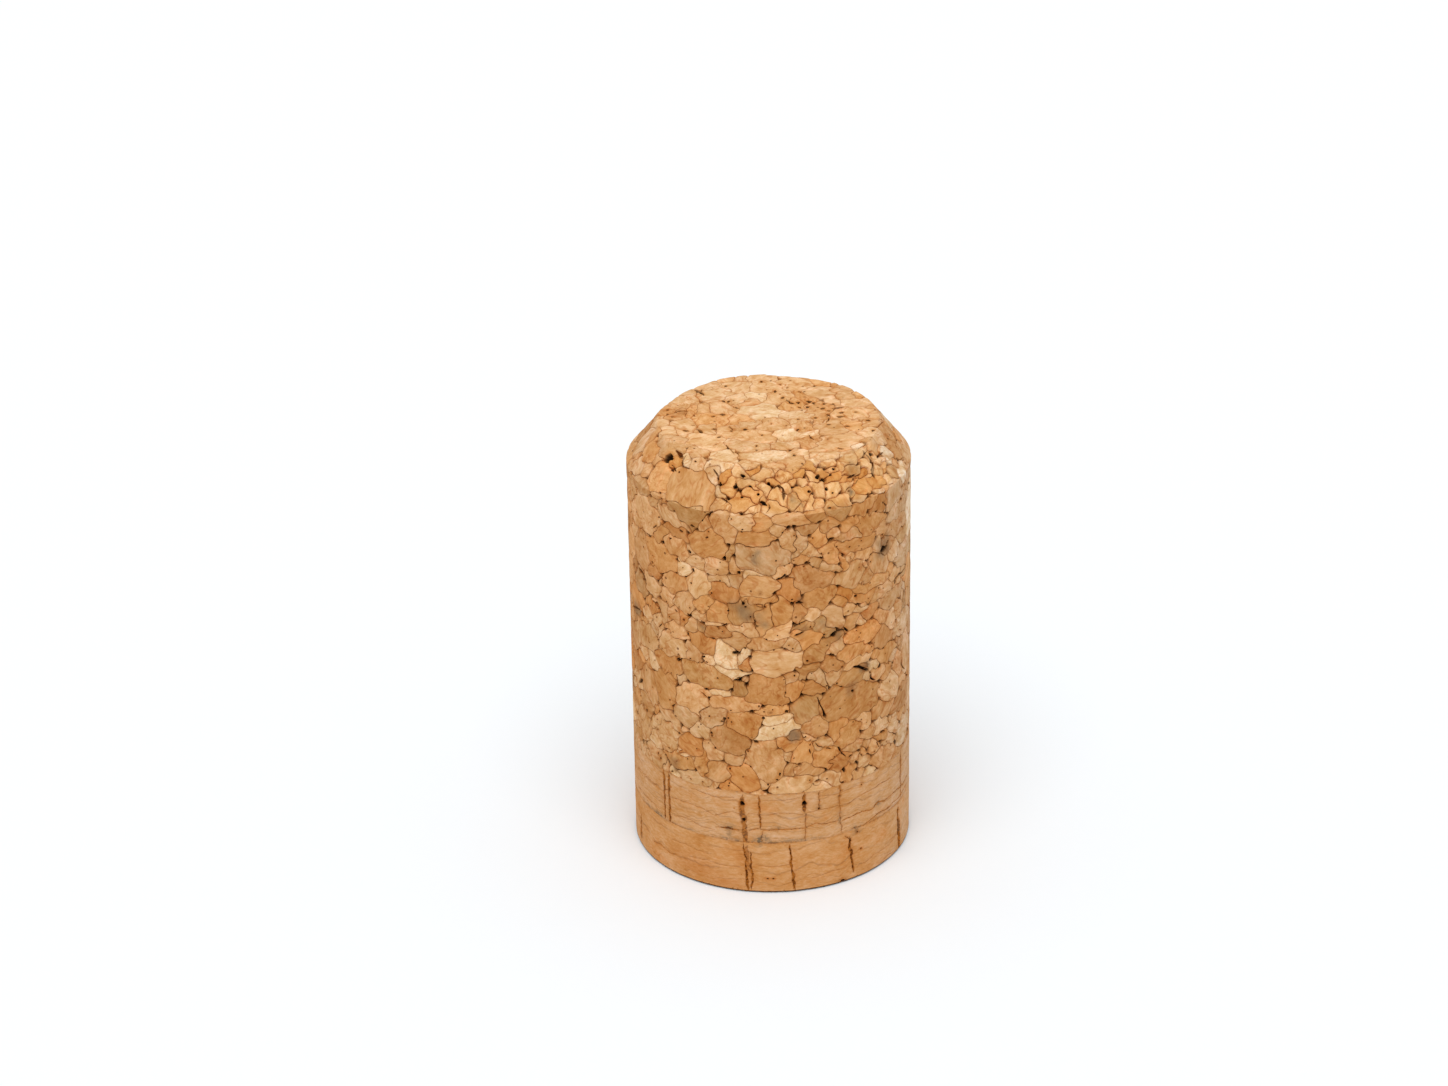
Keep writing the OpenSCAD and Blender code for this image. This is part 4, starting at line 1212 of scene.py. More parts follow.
TOP_VOIDS = table("""
    2.5 3.95 0.5 0.35, 3.2 4.05 0.35 0.3, 4.3 4.3 0.5 0.3 -20, 4.8 4 0.35 0.3, 5.9 3.65 0.35,
    6.7 3.6 0.3 0.4, 7.3 2.6 0.4 0.9, 7.6 1.4 0.3 0.5, 7.5 0.4 0.35 0.6, 3.3 2.85 0.35 0.25, 4.15 2.95 0.35,
    5.7 2.5 0.3 0.45, 6.2 0.9 0.28 0.4, 6.2 -1.55 0.25 0.4, 0.85 7 0.3 0.5, 1.6 5.4 0.25 0.5,
    -0.55 9.6 0.25 0.4, 1.4 8.7 0.25, 5 8.3 0.25 0.35, -4.3 8.6 0.25 0.3, -4.6 4.8 0.25 0.35, -4.05 4.6 0.3,
    -3.3 3.1 0.25 0.5, -4.7 1.4 0.5 0.6 20, -5.65 0.95 0.25 0.4, -9.9 0.95 0.25 0.3, -5.6 -2.2 0.25 0.5,
    -5.1 -4.2 0.25 0.45, -8.5 -2.5 0.3 0.5 -30, -2.4 -2.4 0.35, -3.8 -2.7 0.3 0.35, 3 -2.6 0.3,
    3.1 -0.1 0.2 0.3, 4.9 0.15 0.25 0.3, 3.4 6.8 0.3 0.25, 10.3 -0.7 0.3 0.5, 10.7 -3.2 0.3,
    9.1 1.4 0.2 0.4, 7.2 -7.5 0.25 0.5 20, 2.1 -7.6 0.25 0.3, 2.5 -8.8 0.2 0.5, -1.3 -6.5 0.2 0.3,
    8.1 -2 0.22 0.6 -10, -0.7 -3.9 0.2 0.3, -10.4 2.7 0.3 0.25, -10.4 1.7 0.3 0.2, 6.3 1.9 0.2 0.3""")
TOP_SLITS = table("""
    -7.7 7.8 0.2  -7 7.2 0.35  -6.6 6.3 0.16, -7 7.2 0.28  -6.8 7.8 0.14,
    -7.4 -2.1 0.14  -7 -2.6 0.3  -6.85 -3.1 0.2, 6.3 0.3 0.22  6.2 -0.4 0.16  6 -1 0.12,
    4.1 -4 0.12  4.3 -4.8 0.24  4.6 -5.2 0.12, -9.6 2.2 0.25  -9 2.4 0.2  -8.3 2.4 0.14,
    2 4.9 0.12  2.4 4.1 0.25, -4 -1.5 0.14  -3.7 -2.3 0.2, 0.6 -7.4 0.1  2.1 -7.6 0.14,
    -4.4 -6 0.1  -3.6 -8.2 0.12""")


# How common each tone is among the granules that fill the room between those in the tables
TONE_SHARES = {"pale": 0.28, "tan": 0.32, "orange": 0.21, "grey": 0.07, "brown": 0.06, "cream": 0.05,
               "amber": 0.01}

# How the tan granule's red, green and blue rise on the ground of the chamfer, how much more where
# it is torn, and on the right flank, where a pale sheen of glancing light is painted in
CHAMFER_RISE = np.array([0.09, 0.19, 0.36])
TORN_RISE = np.array([0.15, 0.14, 0.0])
FLANK_SHEEN_RISE = np.array([0.0, 0.16, 0.5])

# The stretch of the chamfer that is torn at the front, in degrees
TORN_FROM, TORN_TO = -26, 66

TURN = (-math.pi, math.pi)


def body_skin(sizes):
    """The body from the glue face up its side, over the chamfer and across the top."""
    rim = sizes.head - sizes.chamfer_height
    return Skin([(sizes.radius, sizes.foot), (sizes.radius, rim),
                 (sizes.radius - sizes.chamfer_width, sizes.head), (0, sizes.head)])


def tear_field(skin):
    """How torn the ground is: the chamfer is ragged, apart from some smooth stretches."""
    rim_s, top_s = skin.start[1:3]

    def tear(s, angle):
        across = smooth((s - rim_s - 0.2) / 0.6) * smooth((top_s + 0.5 - s) / 1.0)
        deg = np.degrees(angle)
        front = smooth((deg - TORN_FROM - 2) / 4) * smooth((TORN_TO - deg) / 8)
        pocket = np.exp(-((deg + 54) / 8) ** 4) * smooth((s - rim_s - 2.6) / 0.8)
        patches = np.sin(np.radians(deg * 2.3 + 40)) * 0.6 + np.sin(np.radians(deg * 5.1)) * 0.4
        back = smooth((patches - 0.1) / 0.3) * smooth((np.abs(deg) - 80) / 12)
        return across * np.clip(front + pocket + back, 0, 1)

    return tear


def grain_turns(count, rng):
    """A random rotation and a random shift for each granule's grain."""
    axes = rng.normal(size=(count, 4))
    axes /= np.linalg.norm(axes, axis=1)[:, None]
    w, x, y, z = axes.T
    turn = np.stack([
        1 - 2 * (y * y + z * z), 2 * (x * y - z * w), 2 * (x * z + y * w),
        2 * (x * y + z * w), 1 - 2 * (x * x + z * z), 2 * (y * z - x * w),
        2 * (x * z - y * w), 2 * (y * z + x * w), 1 - 2 * (x * x + y * y)], -1).reshape(-1, 3, 3)
    return turn, rng.uniform(0, 90, (count, 3))


def flank(angle):
    """How much each place lies on the right flank, where a pale painted sheen stands in for light glancing
    off it.
    """
    deg = np.degrees(angle)
    return smooth((deg - 36) / 44) * smooth((125 - deg) / 40)


def body_places(skin):
    """Turns places on the side, the chamfer and the top into distances and angles on a skin."""
    radius, foot, rim_s = skin.corner[0, 0], skin.corner[0, 1], skin.start[1]
    return (lambda arc, height: (height - foot, arc / radius),
            lambda arc, rise: (rim_s + rise, arc / radius),
            lambda x, y: (skin.total - math.hypot(x, y), math.atan2(x, -y)))


def body_granules(skin, rng):
    """The granules of the body: those on the front, then others in the room between them."""
    granules = []
    for place, tones in zip(body_places(skin), (SIDE_GRANULES, CHAMFER_GRANULES, TOP_GRANULES)):
        for tone, rows in tones.items():
            granules += [Granule(skin, *place(a, b), *shape, tone=tone) for a, b, *shape in rows]
    rim_s, top_s = skin.start[1:3]
    # Crumbs on the torn ground, then ever smaller granules everywhere, the least only off the top
    classes = [(1.0, 160, rim_s + 0.4, top_s - 0.6, math.radians(TORN_FROM), math.radians(TORN_TO))]
    for width, attempts in ((5.4, 30), (4.2, 140), (3.2, 700), (2.3, 4000), (1.6, 3600), (1.0, 2000)):
        classes.append((width, attempts, 0, skin.total if width > 2 else top_s + 0.5, *TURN))
    return scatter(skin, granules, classes, rng, TONE_SHARES)


def granule_bend(skin, sizes):
    """Waves that bend the granules' outlines, apart from those of one small cluster."""
    wide, narrow, ragged = Waves(1, 3.6, 3), Waves(2, 1.3, 3), Waves(3, 0.7, 3)
    calm = skin.solid(27.3 - sizes.foot, -4.8 / sizes.radius)

    def bend(points):
        still = 1 - 0.8 * np.exp(-((points - calm) ** 2).sum(1) / 2.6 ** 2)[:, None]
        return points + still * (0.17 * wide(points) + 0.21 * narrow(points) + 0.12 * ragged(points))

    return bend


def body_voids(skin, network, rng):
    """The holes and the slits of the body: those on the front, then others all round, of which the
    larger ones lie where granules meet."""
    side, chamfer, top = body_places(skin)
    rim_s, top_s = skin.start[1:3]
    voids, seeds = [], itertools.count(1)
    for place, holes, deep, grow in ((side, SIDE_VOIDS, 1.0, 1.0), (chamfer, CHAMFER_VOIDS, 1.3, 1.0),
                                     (top, TOP_VOIDS, 0.8, 1.3)):
        for a, b, long, *shape in holes:
            wide, tilt, dark = shape + [long, 0, None][len(shape):]
            power = rng.uniform(1.1, 2.0)
            depth = deep * (0.12 + 0.85 * grow * wide)
            # Dust fills a hole that has a darkness of its own
            look = {"depth": depth} if dark is None else {"depth": depth / 2, "dark": dark, "dust": 1.0}
            voids.append(Void(skin, *place(a, b), grow * long, grow * wide, tilt, power=power,
                              ragged=0.13, seed=next(seeds), **look))
    for low, high, count, size in ((0, rim_s, 240, 0.2), (top_s + 0.2, skin.total - 0.3, 60, 0.3)):
        for s, angle in zip(rng.uniform(low, high, count), rng.uniform(*TURN, count)):
            if rng.uniform() < skin.radius(s) / skin.corner[0, 0] + 0.2:
                voids.append(Void(skin, s, angle, size * rng.uniform(0.7, 1.4), size * rng.uniform(0.6, 1),
                                  depth=0.14, tilt=rng.uniform(0, 90), dark=rng.uniform(0.1, 0.7),
                                  dust=1.0, seed=next(seeds)))
    low_enough = (network.s > 0.6) & (network.s < top_s - 0.5)
    junctions = np.flatnonzero((network.chain < 0) & low_enough & (np.abs(network.angle) > 1.5))
    for node in rng.choice(junctions, 80, replace=False):
        long = rng.choice([0.35, 0.5, 0.8, 1.3], p=[0.5, 0.33, 0.13, 0.04])
        wide = max(0.24, long * rng.uniform(0.3, 0.8))
        voids.append(Void(skin, network.s[node], network.angle[node], long, wide,
                          rng.uniform(0, 180), power=rng.uniform(1.1, 2), seed=next(seeds)))
    for a, b in SIDE_DOTS:
        voids.append(Void(skin, *side(a, b), rng.uniform(0.15, 0.24), depth=0.16, seed=int(100 * a)))
    for place, slits in ((side, SIDE_SLITS), (chamfer, CHAMFER_SLITS), (top, TOP_SLITS)):
        look = {"depth": 0.16, "dark": 0.4, "dust": 1.0} if place is chamfer else {}
        for line in slits:
            line = [(*place(a, b), width) for a, b, width in np.reshape(line, (-1, 3))]
            voids.append(Slit(skin, line, seed=next(seeds), **look))
    return voids


def body_patches(skin, shell, tables, extra, rng):
    """How much each vertex lies in soft patches: those on the front, then others round the back."""
    patches = [(*place(a, b), *patch) for place, rows in zip(body_places(skin), tables)
               for a, b, *patch in rows]
    for _ in range(extra):
        patches.append(rng.uniform([0, 1.4, 0.4, 0.2], [skin.start[2] - 1, 4.9, 1.3, 0.6]))
    solid = skin.solid(shell.s, shell.angle)
    blur = solid + 0.35 * Waves(8, 1.4, 3)(solid)
    share = np.zeros(len(solid))
    for s, angle, size, amount in patches:
        off = np.linalg.norm(blur - skin.solid(s, angle), axis=1)
        share = np.maximum(share, amount * np.exp(-(off / size) ** 3))
    return share


def body_relief(shell, granule_of, drop, torn):
    """How far each vertex of the body is raised, and its share in seams, in shade painted into hollows,
    in the pale rims beside seams and at the chamfer's edge, which are painted highlights, and in the
    brown halo round seams and round voids, where it is partly painted shade.

    drop is how far each granule sinks where the ground is torn.
    """
    skin, network = shell.skin, shell.network
    rim_s, top_s = skin.start[1:3]
    solid = skin.solid(shell.s, shell.angle)
    gap, node = shell.seam_gap()
    beside = gap - network.width[node] / 2
    sunk = np.zeros(len(shell.w))
    np.maximum.at(sunk, shell.tris.ravel(), np.repeat(drop[granule_of], 3))
    groove = 1 - smooth(gap / (network.width[node] / 2))
    lift = -network.depth[node] * groove - 0.05 * np.exp(-(gap / 0.22) ** 2)
    lift -= torn * (0.24 * sunk + 0.08 * (1 - smooth(gap / 0.5)))
    lift -= torn * 0.22 * np.exp(-((shell.s - top_s) / 0.4) ** 2)
    lift += 0.012 * Waves(5, 2.5)(solid)
    # Painted shade in the voids and in the wide gaps where seams meet, and brown rings round voids
    hollow_shade, dust, brown = shell.hollow_out(lift)
    hollow_shade = np.maximum(hollow_shade, groove * network.gap_shade[node])
    seam = np.maximum(groove * network.dark[node], dust)
    halo = np.exp(-(beside.clip(0) / 0.2) ** 1.5) * network.halo[node] * (1 - 0.3 * torn)
    # Painted highlights beside the seams, where a granule's edge would catch the light
    pale = np.exp(-((beside - 0.1) / 0.09) ** 2) * network.rim[node] * (1 - 0.6 * torn)
    # A painted highlight runs along the edge between side and chamfer, in places, and the top is cleaner
    edge = np.exp(-((shell.s - rim_s) / 0.09) ** 2)
    on_top = smooth((shell.s - top_s) / 0.6)
    painted_edge_shading = 0.6 * edge * np.clip(0.6 + 0.6 * Waves(6, 3.0)(solid), 0, 1)
    return lift, {"seam": seam * ((1 - 0.5 * on_top) * (1 - 0.7 * edge)), "hollow_shade": hollow_shade,
                  "rim": np.maximum(pale, painted_edge_shading), "halo": np.maximum(halo, 0.6 * brown) * (1 + 0.4 * on_top)}


def body_tones(shell, granules, granule_of, torn, look, rng):
    """The tone and the grain place of each corner of the body's triangles."""
    skin, count, ids = shell.skin, len(granules), shell.tris.ravel()
    rim_s, top_s = skin.start[1:3]
    base = {key: np.array(getattr(look, key)) for key in TONE_SHARES}
    shade = rng.normal(1, 0.03, count)[:, None] * (1 + rng.normal(0, 0.03, count)[:, None] * [0, 0.5, 1])
    tone = np.array([base[g.tone] for g in granules]) * shade
    spin, shift = grain_turns(count, rng)
    # A granule that the rim cuts shows another side of itself on the chamfer
    above = np.repeat(shell.s[shell.tris].mean(1) > rim_s, 3)
    own = np.repeat(granule_of, 3)
    other = (own + 7 * above) % count
    grain = np.einsum("nij,nj->ni", spin[other], skin.solid(shell.s, shell.angle)[ids]) + shift[other]
    # The top is sanded: paler than the side and with less contrast, like torn ground
    sanded = smooth((shell.s[ids] - top_s + 0.7) / 1.2)[:, None]
    crumbly = torn[ids][:, None]
    chamfered = above[:, None].astype(float)
    painted_sheen = flank(shell.angle[ids])[:, None]
    plain = np.array(look.tan)
    contrast = 1 - 0.35 * np.maximum(sanded, crumbly)
    shown = plain * (tone[own] * shade[other] / plain) ** contrast
    shown *= 1 + sanded * (np.array(look.sanded) / plain - 1)
    shown *= 1 + chamfered * (1 - sanded) * (CHAMFER_RISE + crumbly * TORN_RISE)
    # The right flank gets a pale painted sheen of glancing light
    shown *= 1 + painted_sheen * (1 - sanded) * (1 - 0.7 * chamfered) * FLANK_SHEEN_RISE
    return {"tone": np.concatenate([np.clip(shown, 0, 0.9), np.ones((len(ids), 1))], 1), "grain": grain}


def add_body(sizes, look):
    """Makes the agglomerate body with its granules, seams, voids and torn chamfer."""
    skin = body_skin(sizes)
    rng = np.random.default_rng(4)
    tear = tear_field(skin)
    granules = body_granules(skin, rng)
    bend = granule_bend(skin, sizes)
    network = Network(skin, granules, bend, SEAM_STEP, SEAM_STEP)
    network.open_up(SEAM_WIDTH, SEAM_FLARE, tear, rng)
    # Two rings of vertices beside the rim keep it crisp
    beside_rim = [skin.ring(skin.start[1] + off, 300) for off in (-0.1, 0.1)]
    shell = Shell(skin, BODY_PITCH, rng, network, body_voids(skin, network, rng), beside_rim)
    label = nearest_granule(bend(skin.solid(shell.s, shell.angle)), granules)
    granule_of = shell.region_granules(label)[shell.region]
    torn = tear(shell.s, shell.angle)
    lift, masks = body_relief(shell, granule_of, rng.uniform(0, 1, len(granules)) ** 1.5, torn)
    corners = body_tones(shell, granules, granule_of, torn, look, rng)
    masks["torn"] = torn
    masks["stain"] = body_patches(skin, shell, (SIDE_STAINS, CHAMFER_STAINS, TOP_STAINS), 26, rng)
    glow = body_patches(skin, shell, (SIDE_GLOWS, CHAMFER_GLOWS, TOP_GLOWS), 50, rng)
    masks["halo"] = np.maximum(masks["halo"], glow)
    body = shell.build("agglomerate", lift, masks, corners, glue_wave(sizes))
    body.data.materials.append(granule_material(look))
    return body


def glue_wave(sizes):
    """The glue line under the body wanders a little up and down. Both pieces that meet follow it."""
    wave = Waves(31, 4.5)

    def sag(points):
        z = points[:, 2]
        z += 0.13 * wave(points * [1, 1, 0]) * np.exp(-((z - sizes.foot) / 1.2) ** 2)
        return points

    return sag


# The bark channels and the level growth lines of the discs: a strength, and the points of a line,
# each with its arc, height and width. Then their holes: arc, height, long, wide
UPPER_CHANNELS = table("""
    0.9  -13.15 11.8 0.2  -13.1 9 0.34  -13.1 6.1 0.2, 0.9  -12.35 11.8 0.2  -12.4 9 0.3  -12.3 5.9 0.3,
    0.8  -12.9 9.8 0.14  -12.5 9.8 0.14, 0.75  -3.35 11.5 0.4  -3.35 9.4 0.5  -3.15 8 0.55  -3 6.1 0.62,
    0.9  -1.55 11.8 0.14  -1.5 9.6 0.2  -1.45 7.8 0.16, 0.6  -1.4 7.3 0.1  -1.35 6.3 0.12,
    0.9  3.2 11.8 0.3  3.2 10.4 0.4  3.25 9.5 0.3, 0.7  3.25 9.3 0.14  3.3 7.6 0.16  3.25 6.1 0.1,
    0.8  4.75 11.8 0.12  4.75 10.6 0.14  4.8 9.6 0.12, 0.8  7.15 11.8 0.16  7.2 9.4 0.14  7.4 6.2 0.12,
    0.8  17.3 11.7 0.2  17.2 9.4 0.34  17.4 6.2 0.2""")
UPPER_LINES = table("""
    0.45  -6.2 7.4 0.1  -4.9 7.5 0.22  -3.6 7.45 0.12,
    0.5  -2.6 7.5 0.1  -1.8 7.75 0.12  -0.6 7.6 0.1  0.3 7.65 0.24  1.6 7.65 0.12  3.4 7.6 0.12
     4.4 8 0.12  5.6 7.65 0.12  7 7.75 0.1,
    0.4  7.4 7.6 0.1  9.6 7.8 0.12  11.4 7.5 0.12  12.4 8 0.18  13.6 7.6 0.14  15.4 7.7 0.12  18 7.4 0.14
     20 7.6 0.1,
    0.28  -12.2 9.1 0.1  -10.4 9.3 0.14  -7.8 9.2 0.1  -6.4 8.7 0.1  -4.6 9.5 0.12  -3.6 9.4 0.1,
    0.3  -2.8 9.5 0.1  -1 9.4 0.1  1 9.7 0.1  3 9.3 0.12  5 9.5 0.1  8 9.4 0.1  11 9.9 0.12  12.6 10 0.2
     15 9.8 0.12  18.5 9.9 0.12  20.5 9.7 0.1, 0.25  -11.8 7.1 0.1  -9.6 7.4 0.12  -8 7 0.1  -6.4 7 0.1,
    0.3  -20 6.7 0.12  -17.5 7 0.14  -14 6.8 0.1,
    0.35  8.6 6.2 0.1  10.5 6.1 0.1  12.6 6.6 0.16  14 6.4 0.14  17 6.5 0.12  20 6.6 0.1,
    0.22  -9 11.3 0.1  -6.5 11 0.12  -4.2 11.2 0.1, 0.2  -1 11.3 0.1  1 11.1 0.1  2.6 11.4 0.1,
    0.22  4.6 11.2 0.1  7 10.9 0.1  9.4 11.2 0.12, 0.25  -19.5 9.2 0.12  -16 9.5 0.12  -13.6 9.3 0.1""")
UPPER_VOIDS = table("""
    -3.35 10.6 0.5 0.55, 3.2 10.6 0.5 0.6, 9.95 11.1 0.2 0.22, -3.2 8.7 0.3 0.5, 4.75 9.7 0.2 0.3""")
# Grey smears and orange glows: arc, height, half width, half height, strength
UPPER_SMEARS = table("""
    -5 6.15 0.9 0.34 0.5, -3.9 6.2 0.8 0.3 0.45, -1.4 6.45 0.7 0.45 0.75, -0.2 6.3 0.9 0.3 0.45,
    1.8 6.25 1.4 0.3 0.4, 3 6.2 0.8 0.26 0.35, 4.2 6.15 0.8 0.2 0.3, -14.4 6.1 1.2 0.24 0.6,
    -16.4 6.1 1 0.2 0.35, -9.4 6.1 0.5 0.16 0.35, -4.8 7.6 0.6 0.3 0.5, 0.3 7.75 0.5 0.26 0.5,
    7.2 7.9 0.3 0.7 0.4, 9.3 6 0.5 0.4 0.5, 4.8 9.8 0.3 0.3 0.5, 12.4 7.9 0.5 0.5 0.35,
    -4.8 7 0.3 0.6 0.3""")
UPPER_GLOWS = table("""
    -13.2 9.4 0.5 2.4 0.4, -3.2 7.2 0.7 1.4 0.45, -1.5 10 0.4 1.6 0.35, 3.2 10 0.5 1.6 0.35,
    7.2 9.6 0.5 1.8 0.35, -10 10.6 1 0.3 0.25, 13 6.6 0.8 0.5 0.3, -9.8 7.4 0.5 0.3 0.3""")
LOWER_CHANNELS = table("""
    1.0  -3.25 5.7 0.16  -3.1 4 0.2  -2.9 2 0.22  -2.85 0.3 0.2,
    0.45  -2.95 5.6 0.4  -2.85 4.2 0.4  -2.7 2.6 0.2,
    0.9  -2.6 5 0.12  -2.5 3.6 0.2  -2.4 2.6 0.24  -2.4 0.5 0.16,
    1.0  1.65 5.8 0.2  1.8 3 0.24  2.1 0.3 0.2, 1.0  8.45 5.2 0.3  8.4 4.2 0.34  8.7 2.4 0.24  8.9 0.9 0.14,
    0.9  7.8 5.6 0.14  8.3 5 0.2, 1.0  16.5 5.4 0.4  16.6 4.2 0.5  16.8 2.6 0.8  16.9 1.4 0.7  17 0.2 0.3,
    0.8  -18.8 3.4 0.4  -18.9 1 0.6""")
LOWER_LINES = table("""
    0.4  -15.6 2.2 0.1  -14 2.5 0.14  -12.4 2.2 0.12  -11.4 2.4 0.1,
    0.2  -9.6 2.9 0.1  -7.4 3.1 0.1  -5 2.9 0.1  -3.6 3 0.1, 0.2  -12.2 4 0.12  -10 4.2 0.1  -7 3.9 0.1,
    0.2  4 1.5 0.1  6.4 1.8 0.1  8 1.7 0.1, 0.2  9.4 1.4 0.1  12 1.8 0.12  15.8 2 0.1,
    0.15  -2 3.4 0.1  0 3.2 0.1  1.5 3.4 0.1, 0.25  12.6 0.3 0.1  14 0.6 0.12  15.6 0.5 0.1""")
LOWER_VOIDS = table("""
    -0.75 1.75 0.3 0.15, -0.15 1.75 0.3 0.15, 9.9 3.4 0.28 0.2, 9.4 5.6 0.25 0.2, 7.5 0.3 0.45 0.3,
    8.4 4.7 0.25 0.4, 16.85 2.6 0.5 2.2""")
LOWER_SMEARS = table("""
    7.5 0.3 0.5 0.2 0.6, -1.6 5.75 0.6 0.16 0.4, 9.3 5.75 0.4 0.2 0.5""")
LOWER_GLOWS = table("""
    -8.6 2.2 2.8 1.4 0.62, -5.4 0.9 2.6 0.8 0.6, -11 2.6 1.6 0.9 0.4, -3.1 4 0.8 1.8 0.5,
    -15 5.2 1.6 0.4 0.25, -14 0.9 2 0.5 0.2, 8.4 4.6 0.8 1.2 0.4, 4.6 1.2 2 0.4 0.2, -7.4 4.6 1.2 0.3 0.25,
    5 3 0.3 0.4 0.3, 12.6 0.6 2 0.3 0.25, 2 3.2 0.6 1.8 0.3""")


def disc_hollows(skin, channels, lines, voids, seed):
    """Channels of bark dust down a disc: those on the front, then others round the back. Growth
    lines run level round it as faint furrows."""
    rng = np.random.default_rng(seed)
    radius, joint = skin.corner[0]
    total, foot, way = skin.start[1], skin.corner[:2, 1].min(), skin.slope[0, 1]
    hollows = []

    def place(arc, height):
        return (height - joint) * way, arc / radius

    def furrow(line, first_seed=seed, **look):
        line = [(*place(arc, height), width) for arc, height, width in line]
        hollows.append(Slit(skin, line, seed=len(hollows) + first_seed, **look))

    for strength, *line in lines:
        furrow(np.reshape(line, (-1, 3)), 2 * seed, depth=0.04, dark=0.0, dust=min(1.0, 1.9 * strength),
               wander=0.05)
    for strength, *line in channels:
        line = np.reshape(line, (-1, 3))
        furrow(line, depth=0.06 + 0.12 * line[1, 2], dark=0.1 * strength, dust=strength, wander=0.09)
    deg = 78.0
    while deg < 272:
        deg += rng.choice([3.0, 8.0, 14.0, 20.0]) + rng.uniform(-1.5, 1.5)
        arc = math.radians(deg) * radius
        width = rng.choice([0.12, 0.16, 0.24, 0.4], p=[0.35, 0.35, 0.2, 0.1])
        low = foot + total * rng.choice([0.04, 0.3, 0.55], p=[0.6, 0.2, 0.2])
        high = min(foot + total * 0.97, low + total * rng.choice([0.35, 0.6, 1.0], p=[0.2, 0.2, 0.6]))
        line = [(arc, low, width * 0.8), (arc + rng.uniform(-0.25, 0.25), (low + high) / 2, width * 1.2),
                (arc + rng.uniform(-0.3, 0.3), high, width * 0.8)]
        furrow(line, depth=0.06 + 0.2 * width, dark=0.1, dust=rng.uniform(0.55, 0.95), wander=0.09)
    for height in foot + total * np.array([0.22, 0.5, 0.78]):
        deg = 84.0
        while deg < 270:
            stretch = math.radians(rng.uniform(14, 40)) * radius
            arc = math.radians(deg) * radius
            line = [(arc + stretch * share, height + rng.uniform(-0.3, 0.3), rng.uniform(0.09, 0.14))
                    for share in (0, 0.3, 0.65, 1)]
            furrow(line, depth=0.04, dark=0.0, dust=rng.uniform(0.3, 0.7), wander=0.05)
            deg += math.degrees(stretch / radius) + rng.uniform(2, 14)
    for arc, height, long, wide in voids:
        hollows.append(Void(skin, *place(arc, height), long, wide, seed=int(100 * height)))
    return hollows


def add_disc(name, skin, hollows, smears, glows, material, seed, sag=None):
    """Makes a disc of natural cork with its channels, and its grey smears and orange glows, each
    with its place, its half sizes and its strength."""
    rng = np.random.default_rng(seed)
    # The painted contact shadow round the foot starts at this ring
    foot_shadow_from = skin.start[1] - 0.08
    extra = [skin.ring(foot_shadow_from, 340)] if skin.side < 0 else []
    shell = Shell(skin, DISC_PITCH, rng, voids=hollows, extra=extra)
    solid = skin.solid(shell.s, shell.angle)
    lift = 0.01 * Waves(seed + 1, 2.0)(solid)
    edge = shell.s if skin.closed else np.minimum(shell.s, skin.total - shell.s)
    lift -= 0.04 * np.exp(-(edge / 0.12) ** 2)
    # Painted shade in the voids and channels, and brown rings round voids
    hollow_shade, dust, brown = shell.hollow_out(lift)
    joint = np.exp(-(edge / 0.13) ** 2) * np.clip(0.3 + 0.35 * Waves(seed + 2, 4.0)(solid), 0, 0.8)
    if skin.side < 0:
        # A painted contact shadow darkens the edge that the stopper stands on
        painted_edge_shading = smooth((shell.s - foot_shadow_from - 0.005) / 0.06) * smooth((skin.start[2] + 0.35 - shell.s) / 0.35)
        joint = np.maximum(joint, painted_edge_shading)
        hollow_shade = np.maximum(hollow_shade, 0.75 * painted_edge_shading)
        lift -= 0.025 * smooth((shell.s - skin.start[1]) / 0.3)
    shaken = solid + 0.12 * Waves(seed + 3, 0.8, 3)(solid)
    shaken_arc = np.arctan2(shaken[:, 0], -shaken[:, 1]) * skin.corner[0, 0]
    # The orange glows start from the brown rings round voids, which are partly painted shade
    smear, warm = np.zeros(len(solid)), 0.9 * brown
    for patch, rows in ((smear, smears), (warm, glows)):
        for arc, height, wide, high, strength in rows:
            off = ((shaken_arc - arc) / wide) ** 2 + ((shaken[:, 2] - height) / high) ** 2
            np.maximum(patch, strength * np.exp(-off), out=patch)
    # The last mask is the right flank's painted sheen of glancing light
    masks = {"seam": np.maximum(dust, joint), "hollow_shade": hollow_shade, "halo": warm, "stain": smear,
             "painted_sheen": flank(shell.angle)}
    disc = shell.build(name, lift, masks, {"grain": solid[shell.tris.ravel()]}, sag)
    disc.data.materials.append(material)
    return disc


def add_upper_disc(sizes, look):
    """Makes the disc of natural cork under the body."""
    skin = Skin([(sizes.radius, sizes.joint), (sizes.radius, sizes.foot)])
    hollows = disc_hollows(skin, UPPER_CHANNELS, UPPER_LINES, UPPER_VOIDS, 40)
    material = disc_material("Upper natural cork", look, look.upper, 1)
    return add_disc("upper_disc_cork", skin, hollows, UPPER_SMEARS, UPPER_GLOWS, material, 60,
                    glue_wave(sizes))


